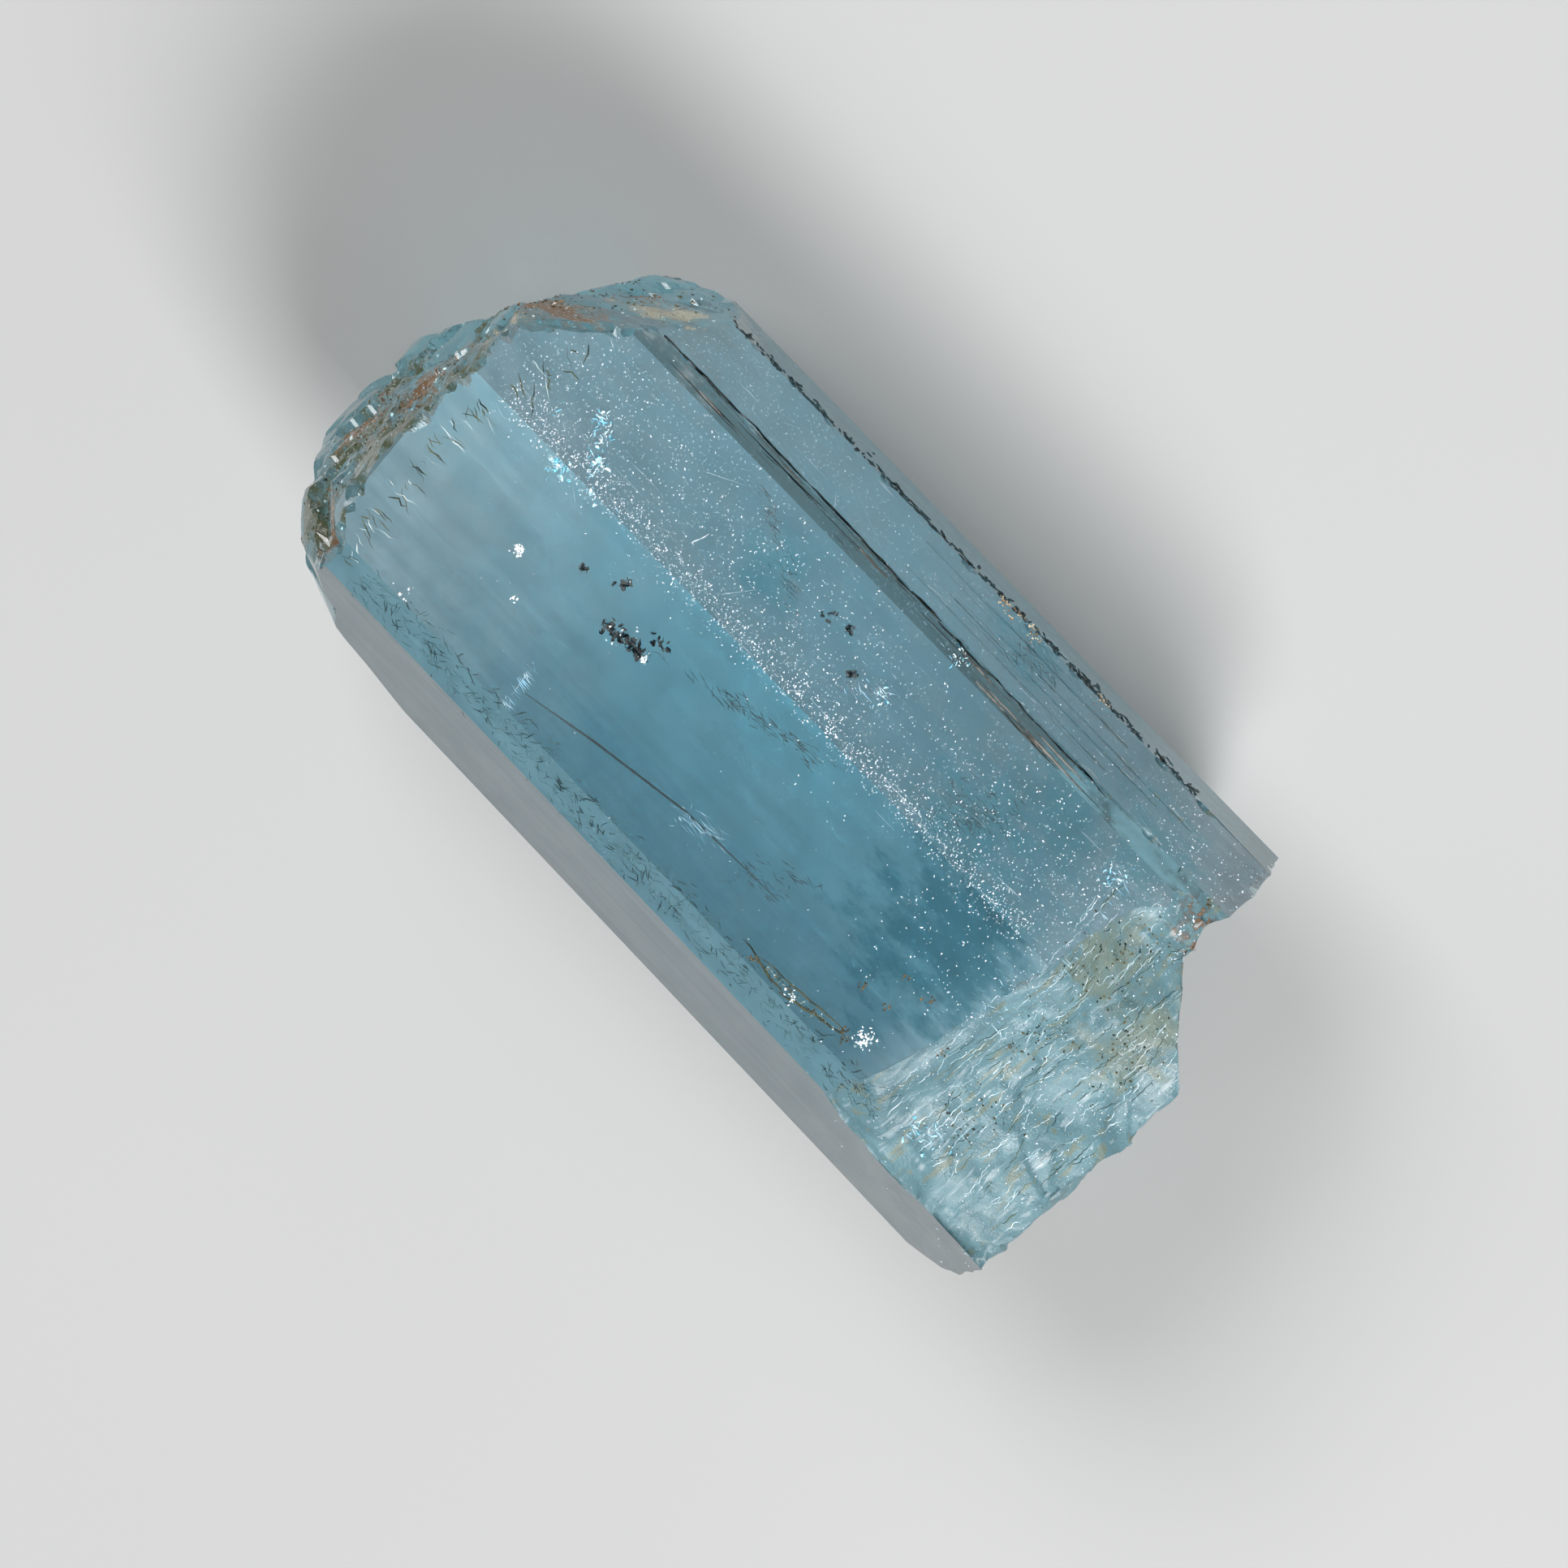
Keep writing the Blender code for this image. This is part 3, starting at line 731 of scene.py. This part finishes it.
def line_on(skin, start, end, width, rng, wobble=0.03, sink=0.0, step=0.25):
    """A tapering line over the upper faces, from one (x, y) to another.

    It stops where the next place is over three steps away, as at the foot of a cliff.
    """
    start, end = Vector(start), Vector(end)
    count = max(3, round((end - start).length / step))
    side = (end - start).orthogonal().normalized()
    run = []
    for index in range(count + 1):
        share = index / count
        spot = start.lerp(end, share) + side * rng.gauss(0.0, wobble)
        place, normal = skin.above(*spot)
        if place is not None and run and (place - run[-1][0]).length > 3.0 * step * MM:
            break
        if place is not None:
            taper = math.sin(math.pi * (0.04 + 0.92 * share)) ** 0.6
            run.append((place - normal * (sink * MM), width / 2 * taper))
    return run


def lines(skin, rng, count, draw, *sizes, **look):
    """Lines over the upper faces, each with the start, end and width that draw gives."""
    return [line_on(skin, *draw(rng, *sizes), rng, **look) for _ in range(count)]


def any_turn(rng):
    """Any turn at all."""
    return tuple(rng.uniform(0.0, math.tau) for _ in range(3))


def turn_on_face(rng):
    """Any turn about the normal of the face."""
    return 0.0, 0.0, rng.uniform(0.0, math.tau)


def strewn(rng, rows):
    """Each (x, y) of what is strewn along the rows' lines."""
    for start, end, spread, count in rows:
        for _ in range(count):
            centre = Vector(start).lerp(Vector(end), rng.random())
            yield rng.gauss(centre.x, spread), rng.gauss(centre.y, spread)


def buried_spots(skin, rng, rows, depths, sizes, flat):
    """Places of small things strewn under the upper faces, along each row's line."""
    spots = []
    for x, y in strewn(rng, rows):
        if skin.above(x, y)[0] is None:
            continue
        size = rng.uniform(*sizes)
        place = skin.under(x, y, rng.uniform(*depths))
        spots.append((place, (0.0, 0.0, 1.0), any_turn(rng), (size, size * flat, size)))
    return spots


def at_points(rows):
    """Rows of (x, y, spread, count) turned into rows of lines that have no length."""
    return [((x, y), (x, y), spread, count) for x, y, spread, count in rows]


def buried_runs(skin, rng, rows):
    """Short tapering streaks under the upper faces that run along the crystal's axis."""
    runs = []
    for x, y in strewn(rng, rows):
        half = rng.uniform(0.04, 0.22)
        drift = rng.gauss(0.0, 0.04)
        ends = ((x + half, y - drift), (x, y), (x - half, y + drift))
        if any(skin.above(*spot)[0] is None for spot in ends):
            continue
        depth = rng.uniform(0.0, 0.05)
        width = rng.uniform(0.006, 0.014)
        runs.append([(skin.under(*spot, depth), share * width)
                     for spot, share in zip(ends, (0.2, 1.0, 0.2))])
    return runs


# What lies in the crystal ----------------------------------

# The growth tube, from end to end, as (x, y), its radius at each of those places, and its
# depth under the broad face.
TUBE = ((5.95, 2.50), (4.10, 2.12), (1.60, 1.72), (-1.30, 1.60))
TUBE_RADII = (0.010, 0.028, 0.024, 0.008)
TUBE_DEPTH = 0.25
# Each row below: start and end of a line in (x, y), spread around it, count.
# The dark, glittering crystals.
DARK_NESTS = (
    ((5.95, 0.10), (4.85, -0.05), 0.10, 90),
    ((5.00, -0.45), (4.60, -0.55), 0.07, 16),
    ((7.25, -0.48), (7.10, -0.50), 0.04, 10),
    ((6.40, -0.85), (6.15, -0.95), 0.05, 10),
    ((2.15, -3.55), (1.95, -3.65), 0.05, 10),
    ((1.40, -2.95), (1.25, -3.05), 0.05, 12),
    ((2.75, -3.40), (2.55, -3.60), 0.06, 12),
)
# The dark wisps.
WISPS = (
    ((5.6, -4.3), (3.2, -3.1), 0.10, 70), ((3.0, -0.7), (0.4, -1.3), 0.12, 80),
    ((-2.2, -2.5), (-3.3, -3.1), 0.28, 150), ((-1.0, -5.6), (-2.3, -5.7), 0.12, 70),
    ((6.3, 0.2), (1.2, -1.2), 0.06, 30), ((-0.2, 1.9), (-1.6, 0.6), 0.20, 50),
)
# The pale blue veils.
VEILS = (
    ((1.6, 1.9), (0.6, 1.6), 0.16, 50), ((1.4, -2.6), (0.4, -3.3), 0.08, 70),
    ((0.3, -4.7), (-0.7, -4.9), 0.05, 24), ((8.2, -1.9), (7.6, -1.9), 0.07, 30),
    ((6.3, 1.9), (6.0, 3.1), 0.05, 40), ((-7.3, 3.2), (-8.2, 3.0), 0.16, 60),
    ((-5.9, -1.0), (-6.8, 0.6), 0.20, 80), ((-6.0, -3.9), (-6.6, -4.2), 0.16, 60),
    ((-6.45, -4.0), (-6.85, -1.4), 0.06, 80),
)
# The pale fill of the spindle.
SPINDLE_FILL = (((-2.1, 2.90), (-4.2, 2.74), 0.035, 90),)
# The spindle's edges: start and end in (x, y), width.
SPINDLE_EDGES = (
    ((-1.39, 2.81), (-3.0, 3.04), 0.05),
    ((-2.8, 3.04), (-4.64, 2.65), 0.06),
    ((-1.9, 2.80), (-4.50, 2.58), 0.04),
)
# The white stars, small white blocks that paint glints: x, y, spread, count.
WHITE_STARS = (
    (4.76, -0.02, 0.06, 40), (5.60, 0.04, 0.20, 10), (8.44, 0.32, 0.08, 44),
    (7.69, 1.16, 0.04, 12), (-4.90, 2.39, 0.11, 64), (-3.10, 2.90, 0.10, 16),
    (9.41, 2.87, 0.12, 12),
)
# Painted glints, drawn as bright cyan and white flakes: x, y, spread, count.
GLINTS = (
    (9.29, -2.92, 0.10, 46), (9.00, -2.66, 0.11, 46), (9.23, -1.60, 0.12, 46),
    (8.66, -2.22, 0.12, 60), (10.15, -2.29, 0.20, 12), (8.24, -1.80, 0.18, 20),
    (-0.20, -4.80, 0.10, 22), (0.40, -3.10, 0.14, 12), (-7.60, 3.15, 0.30, 50),
    (-6.10, -4.00, 0.16, 40),
)
# The brown specks in the broad face, as (x, y), and the spread and count around each.
SPECKS = ((-3.99, 1.53), (-4.47, 0.67), (-4.66, 1.49), (-5.18, 0.66), (-6.31, 1.33),
          (-4.42, 2.64), (-4.50, 2.66), (-1.9, 2.95), (-8.1, -4.9), (-7.4, 0.4))
SPECK_CLUSTER = (0.07, 12)


def add_tube(skin):
    """The thin growth tube."""
    tube = [(skin.under(x, y, TUBE_DEPTH), radius) for (x, y), radius in zip(TUBE, TUBE_RADII)]
    threads("growth_tube", [tube])


def add_small_crystals(skin, rng):
    """The dark nests, and the white stars: small white blocks that paint glints."""
    strew("dark_crystals", flake_shape(),
          buried_spots(skin, rng, DARK_NESTS, depths=(0.0, 0.08), sizes=(0.05, 0.22), flat=0.7))
    # Small white blocks: painted glints.
    strew("white_glint_blocks", block_shape(),
          buried_spots(skin, rng, at_points(WHITE_STARS), depths=(-0.02, 0.03),
                       sizes=(0.015, 0.06), flat=0.5))


def add_veils(skin, rng):
    """The painted cyan glints, the dark wisps and the pale blue veils."""
    # Bright cyan flakes: painted glints.
    strew("cyan_glint_flakes", flake_shape(),
          buried_spots(skin, rng, at_points(GLINTS), depths=(-0.01, 0.05),
                       sizes=(0.04, 0.18), flat=0.6))
    threads("dark_wisps", buried_runs(skin, rng, WISPS))
    threads("blue_veils", buried_runs(skin, rng, VEILS))


def add_spindle(skin, rng):
    """The olive spindle with its pale fill, and the brown specks around it."""
    strew("spindle_fill", flake_shape(),
          buried_spots(skin, rng, SPINDLE_FILL, depths=(-0.01, 0.05), sizes=(0.04, 0.14),
                       flat=0.5))
    threads("spindle_edges", [line_on(skin, start, end, width, rng, wobble=0.02)
                              for start, end, width in SPINDLE_EDGES])
    strew("brown_specks", grain_shape(),
          buried_spots(skin, rng, at_points((*place, *SPECK_CLUSTER) for place in SPECKS),
                       depths=(-0.01, 0.03), sizes=(0.02, 0.09), flat=0.6))


class AQUAMARINE_OT_inclusions(bpy.types.Operator):
    """Add what the crystal holds: a growth tube, small crystals, veils and wisps, and painted
    glints.
    """

    bl_idname = "aquamarine.inclusions"
    bl_label = "Inclusions"

    def execute(self, context):
        rng = random.Random(11)
        skin = Skin()
        add_tube(skin)
        add_small_crystals(skin, rng)
        add_veils(skin, rng)
        add_spindle(skin, rng)
        return {"FINISHED"}


# What time has left on the crystal, with painted glints ------

# Bands of pale grains, dust that over the horn and the break also paints their white sparkle:
# count, from where to where along X, middle along Y, spread around it, largest size.
GRAIN_BANDS = (
    (2300, (-5.5, 11.2), -1.98, 0.20, 0.045),
    (2300, (-6.0, 11.4), -3.10, 0.90, 0.042),
    (260, (-8.5, 10.5), -5.45, 0.25, 0.035),
    (380, (-6.4, -3.0), -1.6, 1.8, 0.045),
    # The next two bands, over the horn and the break, also paint their white sparkle.
    (420, (-9.2, -6.0), -4.9, 0.8, 0.055),
    (1300, (-10.8, -6.0), -0.4, 2.4, 0.040),
    (160, (-6.0, 11.0), 1.0, 1.6, 0.025),
)
LEAST_GRAIN = 0.014
# Grains lie only on faces whose normal points up by at least this, as a cosine.
LYING = 0.2
# The dark bevel: where it lies along Y, and the share of its grains that have gone.
BEVEL_BAND = (-5.0, -4.6)
BEVEL_BARE = 0.8


def dust_spots(skin, rng):
    """Places of the pale grains that cling to the upper faces, most along their seams, and paint
    the break's sparkle.
    """
    spots = []
    for count, ends, middle, spread, largest in GRAIN_BANDS:
        for _ in range(count):
            place, normal = skin.above(rng.uniform(*ends), rng.gauss(middle, spread))
            if place is None or normal.z < LYING:
                continue
            on_bevel = BEVEL_BAND[0] < place.y / MM < BEVEL_BAND[1]
            if on_bevel and rng.random() < BEVEL_BARE:
                continue
            size = LEAST_GRAIN + (largest - LEAST_GRAIN) * rng.random() ** 2
            length = size * rng.choice((1.0, 1.0, 1.0, 1.5, 2.0))
            spots.append((place, normal, turn_on_face(rng), (length, size, size * 0.6)))
    return spots


# Along X, where the seam's cracks begin and end. Along Y, where the dark bevel's seam and
# its floor lie.
CRACKED = (10.6, -4.4)
BEVEL_SEAM = -4.97
BEVEL_FLOOR = (-4.95, -4.66)


def seam_cracks(skin, rng):
    """The broad cracks that follow one another along the bevel's seam."""
    runs = []
    x = CRACKED[0]
    while x > CRACKED[1]:
        length = rng.uniform(0.6, 2.4)
        y = BEVEL_SEAM + rng.gauss(0.0, 0.02)
        width = rng.uniform(0.045, 0.09)
        runs.append(line_on(skin, (x, y), (x - length, y), width, rng, wobble=0.006, sink=0.005))
        x -= length * rng.uniform(0.85, 1.0)
    return runs


def floor_crack(rng):
    """A dark crack on the bevel's floor."""
    x, y = rng.uniform(-4.2, 9.5), rng.uniform(*BEVEL_FLOOR)
    end = (x - rng.uniform(0.5, 2.6), y + rng.gauss(0, 0.02))
    return (x, y), end, rng.uniform(0.012, 0.035)


def steep_crack(rng):
    """A fine dark crack on the steep face, beside the bevel."""
    x, y = rng.uniform(-4.4, 2.0), rng.uniform(-5.9, -5.05)
    return (x, y), (x - rng.uniform(1.0, 3.0), y), 0.011


def bevel_streak(rng):
    """A brownish-grey streak between the bevel's cracks."""
    x, y = rng.uniform(-3.5, 9.8), rng.uniform(-4.93, -4.66)
    return (x, y), (x - rng.uniform(0.6, 2.2), y), rng.uniform(0.02, 0.06)


# The two long scratches: start and end in (x, y), width, wobble.
LONG_SCRATCHES = (
    ((6.30, 2.00), (6.10, 2.75), 0.015, 0.02),
    ((5.92, -2.50), (5.78, -2.90), 0.04, 0.01),
)


def scratch(rng):
    """A fine pale scratch that runs along a face or leans a little across it."""
    x = rng.uniform(-5.0, 10.5)
    y = rng.choice((rng.uniform(-5.9, -5.1), rng.gauss(-3.0, 0.9), rng.gauss(-2.0, 0.2)))
    length = rng.uniform(0.2, 1.1)
    lean = rng.choice((0.0, 0.0, rng.gauss(0.0, 0.5)))
    end = (x - length * math.cos(lean), y + length * math.sin(lean))
    return (x, y), end, rng.uniform(0.006, 0.012)


def etch_figure(rng):
    """A hair-like etch figure of the etched face or of the edge beside it."""
    x, y = rng.uniform(-6.4, 10.4), rng.triangular(2.75, 4.0, 3.5)
    swing = rng.gauss(0.0, 0.6)
    length = rng.uniform(0.08, 0.40)
    end = (x - length * math.cos(swing), y + length * math.sin(swing))
    return (x, y), end, rng.uniform(0.018, 0.036)


# Where rust and cream spots sit on the near edge: (x, z).
EDGE_SPOTS = ((-0.31, 6.25), (-0.62, 6.15), (-1.19, 6.20), (-3.40, 6.10))


def edge_spots(skin, rng):
    """Places of the grains of the rust and cream spots on the near edge."""
    spots = []
    for x, z in EDGE_SPOTS:
        for _ in range(26):
            place, normal = skin.near(rng.gauss(x, 0.12), rng.gauss(z, 0.16))
            if place is not None:
                size = rng.uniform(0.03, 0.09)
                spots.append((place, normal, any_turn(rng), (size, size, size * 0.5)))
    return spots


# Where dark flecks sit in the break: (x, y), and the line along X that they stay below.
FLECK_CENTRES = ((-7.3, -2.6), (-7.8, -3.4), (-9.2, -1.6), (-7.6, -0.4), (-8.2, 2.2), (-9.9, -0.6))
FLECKED_BELOW = -6.0 * MM


def fleck_spots(skin, rng):
    """Places of the dark flecks of the break."""
    spots = []
    for _ in range(420):
        x, y = rng.choice(FLECK_CENTRES)
        place, normal = skin.above(rng.gauss(x, 0.45), rng.gauss(y, 0.45))
        if place is None or place.x > FLECKED_BELOW:
            continue
        size = 0.015 + 0.05 * rng.random() ** 2
        spots.append((place, normal, any_turn(rng), (size * 1.6, size, size)))
    return spots


def striation(rng, widest):
    """A fine striation that sweeps over the break."""
    x, y = rng.uniform(-10.6, -6.2), rng.uniform(-3.8, 3.6)
    length = rng.uniform(0.15, 0.9)
    end = (x + rng.gauss(0.0, 0.2) * length, y - length)
    return (x, y), end, rng.uniform(0.008, widest)


# The natural top's rim seen from above: its X at the middle, and how it bends back with Y squared.
RIM_X = 11.75
RIM_BEND = 0.06


def rim_crack(rng, widest):
    """A short crack that reaches into the upper faces from the rim of the natural top."""
    y = rng.uniform(-4.3, 3.6)
    x = RIM_X - rng.uniform(0.0, 0.5) - RIM_BEND * y * y
    length = rng.uniform(0.12, 0.6)
    end = (x - length, y * 0.97 + rng.gauss(0.0, 0.16))
    return (x, y), end, rng.uniform(0.010, widest)


# Where crusts fill the pits of the natural top, as (y, z), and the sizes of their grains.
CRUST_CENTRES = (
    (2.0, 5.5), (0.2, 6.6), (-3.2, 6.6), (-4.6, 5.4), (3.2, 7.5), (2.0, 3.5), (0.6, 7.6),
)
CRUST_SIZES = (0.02, 0.08)


def crust_spots(skin, rng, count, spread):
    """Places of the crusts that fill the pits of the natural top, and of the flakes that paint its
    highlights.
    """
    spots = []
    for _ in range(count):
        y, z = rng.choice(CRUST_CENTRES)
        place, normal = skin.top(rng.gauss(y, spread), rng.gauss(z, spread))
        if place is None or normal.x < TOP_FACE:
            continue
        size = rng.uniform(*CRUST_SIZES)
        spots.append((place, normal, turn_on_face(rng), (size * 1.4, size, size * 0.4)))
    return spots


# The height of the edge under the steep face, and how much a face that the chips stay on
# looks towards -Y, as a cosine.
NEAR_EDGE_HEIGHT = 6.15
FACING_NEAR = 0.8


def rim_chips(skin, rng):
    """Places of the dark chips under the edge of the steep face."""
    spots = []
    for _ in range(260):
        x, z = rng.uniform(-6.4, 9.0), NEAR_EDGE_HEIGHT - abs(rng.gauss(0.0, 0.22))
        place, normal = skin.near(x, z)
        if place is None or normal.y > -FACING_NEAR:
            continue
        turn = turn_on_face(rng)
        size = (rng.uniform(0.05, 0.35), rng.uniform(0.04, 0.14), 0.2)
        spots.append((place, normal, turn, size))
    return spots


def add_bevel_marks(skin, rng):
    """The cracks and the streaks of the dark bevel."""
    threads("bevel_cracks", seam_cracks(skin, rng)
            + lines(skin, rng, 16, floor_crack, wobble=0.005, sink=0.004)
            + lines(skin, rng, 9, steep_crack, wobble=0.004, sink=0.004))
    threads("bevel_streaks", lines(skin, rng, 20, bevel_streak, wobble=0.004, sink=0.012))


def add_face_marks(skin, rng):
    """The scratches and the etch figures of the upper faces."""
    threads("scratches", lines(skin, rng, 60, scratch, wobble=0.004, sink=0.002)
            + [line_on(skin, start, end, width, rng, wobble)
               for start, end, width, wobble in LONG_SCRATCHES])
    threads("etch_figures", lines(skin, rng, 620, etch_figure, wobble=0.012, sink=0.003,
                                  step=0.10))


def add_end_marks(skin, rng):
    """The cracks at the natural top's rim and the striations of the break."""
    for name, count, widest in (("dark_rim_cracks", 48, 0.045), ("pale_rim_cracks", 26, 0.025)):
        threads(name, lines(skin, rng, count, rim_crack, widest, wobble=0.02, sink=0.004,
                            step=0.12))
    for name, count, widest in (("pale_striations", 170, 0.024), ("dark_striations", 110, 0.030)):
        threads(name, lines(skin, rng, count, striation, widest, wobble=0.02, step=0.08))


def add_crusts(skin, rng):
    """The flecks of the break, the crusts of the top with flakes that paint its highlights, and
    what sits on the near edge.
    """
    strew("break_flecks", grain_shape(), fleck_spots(skin, rng))
    strew("rust_crust", grain_shape(), crust_spots(skin, rng, count=260, spread=0.35))
    strew("olive_crust", grain_shape(), crust_spots(skin, rng, count=700, spread=0.7))
    # Pale flakes: painted highlights on the natural top.
    strew("pale_top_glints", flake_shape(), crust_spots(skin, rng, count=150, spread=1.1))
    strew("rim_chips", flake_shape(), rim_chips(skin, rng))
    strew("edge_spots", grain_shape(), edge_spots(skin, rng))


class AQUAMARINE_OT_weathering(bpy.types.Operator):
    """Add what time has left on the crystal: grains, cracks, scratches and crusts, and painted
    glints.
    """

    bl_idname = "aquamarine.weathering"
    bl_label = "Weathering"

    def execute(self, context):
        rng = random.Random(23)
        skin = Skin()
        # Pale dust grains; over the break and the horn they are painted sparkle too.
        strew("dust_and_glint_grains", grain_shape(), dust_spots(skin, rng))
        add_bevel_marks(skin, rng)
        add_face_marks(skin, rng)
        add_end_marks(skin, rng)
        add_crusts(skin, rng)
        return {"FINISHED"}


# The stage -------------------------------------------------

# The camera's sensor width in millimetres, and the nearest that it sees, in metres.
SENSOR = 36.0
NEAREST_SEEN = 10.0 * MM
# The lamps: where each stands and how wide it is, in metres, and its power in watts.
KEY_LAMP = ((-0.16, 0.06, 0.20), 0.12, 0.86)
FILL_LAMP = ((0.18, -0.06, 0.20), 0.14, 0.64)
# The colour and the strength of the light from the room, and the paper's two tones.
ROOM_COLOUR = (0.92, 0.96, 1.0, 1.0)
ROOM_LIGHT = 0.30
PAPER_TONES = ((0.38, 0.38, 0.375, 1.0), (0.40, 0.40, 0.395, 1.0))
# How wide the paper is and how far it lies under the crystal, in metres.
FLOOR_WIDTH = 1.2
FLOOR_GAP = 0.02 * MM


def view_axes(stage):
    """The picture's right, its up, and the way back to the camera."""
    lean, tilt, roll = stage.view_lean, stage.view_tilt, stage.view_roll
    back = Vector((math.sin(tilt), -math.sin(lean) * math.cos(tilt),
                   math.cos(lean) * math.cos(tilt)))
    across = Vector((0.0, -math.cos(lean), -math.sin(lean)))
    along = across.cross(back)
    right = along * math.cos(roll) + across * math.sin(roll)
    up = across * math.cos(roll) - along * math.sin(roll)
    return right, up, back


def add_camera(context, stage):
    """The camera, looking down on the broad face."""
    right, up, back = view_axes(stage)
    bpy.ops.object.camera_add()
    camera = context.object
    camera.data.lens = stage.lens
    camera.data.sensor_width = SENSOR
    camera.data.clip_start = NEAREST_SEEN
    place = Vector(stage.target) + back * (stage.lens / SENSOR * stage.frame_width)
    turn = Matrix((right, up, back)).transposed().to_4x4()
    camera.matrix_world = Matrix.Translation(place) @ turn
    context.scene.camera = camera


def add_lamp(name, place, width, power):
    """A soft square lamp that shines on the crystal."""
    bpy.ops.object.light_add(type="AREA", location=place)
    lamp = bpy.context.object
    lamp.name = name
    lamp.data.size = width
    lamp.data.energy = power
    lamp.rotation_euler = (-Vector(place)).to_track_quat("-Z", "Y").to_euler()


def paper():
    """Plain pale paper."""
    n = Nodes("pale floor")
    tone = n.ramp(n.noise(n.millimetres(), 0.02, 2.0), 0.3, 0.7)
    n.finish(Base_Color=n.mix(tone, *PAPER_TONES), Roughness=0.8)
    return n.material


def add_floor(context):
    """The paper under the crystal."""
    bpy.ops.object.select_all(action="DESELECT")
    bpy.ops.mesh.primitive_plane_add(size=FLOOR_WIDTH, location=(0.0, 0.0, -FLOOR_GAP))
    floor = context.object
    floor.name = "floor"
    floor.data.materials.append(paper())


def add_room(context):
    """The faint light that comes from all around."""
    world = bpy.data.worlds.new("studio")
    context.scene.world = world
    world.use_nodes = True
    background = world.node_tree.nodes["Background"]
    background.inputs["Color"].default_value = ROOM_COLOUR
    background.inputs["Strength"].default_value = ROOM_LIGHT


class AQUAMARINE_OT_stage(bpy.types.Operator):
    """Set up the floor, the lights and the camera."""

    bl_idname = "aquamarine.stage"
    bl_label = "Stage"

    def execute(self, context):
        add_floor(context)
        add_room(context)
        add_lamp("key lamp", *KEY_LAMP)
        add_lamp("fill lamp", *FILL_LAMP)
        add_camera(context, context.scene.aquamarine_stage)
        context.scene.view_settings.view_transform = "Standard"
        return {"FINISHED"}


class AQUAMARINE_PT_panel(bpy.types.Panel):
    """Lists the steps that dress the crystal."""

    bl_label = "Aquamarine crystal"
    bl_space_type = "VIEW_3D"
    bl_region_type = "UI"
    bl_category = "Crystal"

    def draw(self, context):
        for kind in OPERATORS:
            self.layout.operator(kind.bl_idname)


SETTINGS = (
    ("aquamarine_crystal", CrystalSettings),
    ("aquamarine_stage", StageSettings),
)
OPERATORS = (AQUAMARINE_OT_crystal, AQUAMARINE_OT_inclusions, AQUAMARINE_OT_weathering,
             AQUAMARINE_OT_stage)


def register():
    """Add the settings, the operators and the panel."""
    for name, kind in SETTINGS:
        bpy.utils.register_class(kind)
        setattr(bpy.types.Scene, name, PointerProperty(type=kind))
    for kind in (*OPERATORS, AQUAMARINE_PT_panel):
        bpy.utils.register_class(kind)


def unregister():
    """Remove them again."""
    for kind in (AQUAMARINE_PT_panel, *reversed(OPERATORS)):
        bpy.utils.unregister_class(kind)
    for name, kind in reversed(SETTINGS):
        delattr(bpy.types.Scene, name)
        bpy.utils.unregister_class(kind)


def main():
    """Build everything."""
    register()
    bpy.ops.aquamarine.crystal()
    bpy.ops.aquamarine.inclusions()
    bpy.ops.aquamarine.weathering()
    bpy.ops.aquamarine.stage()


if __name__ == "__main__":
    main()
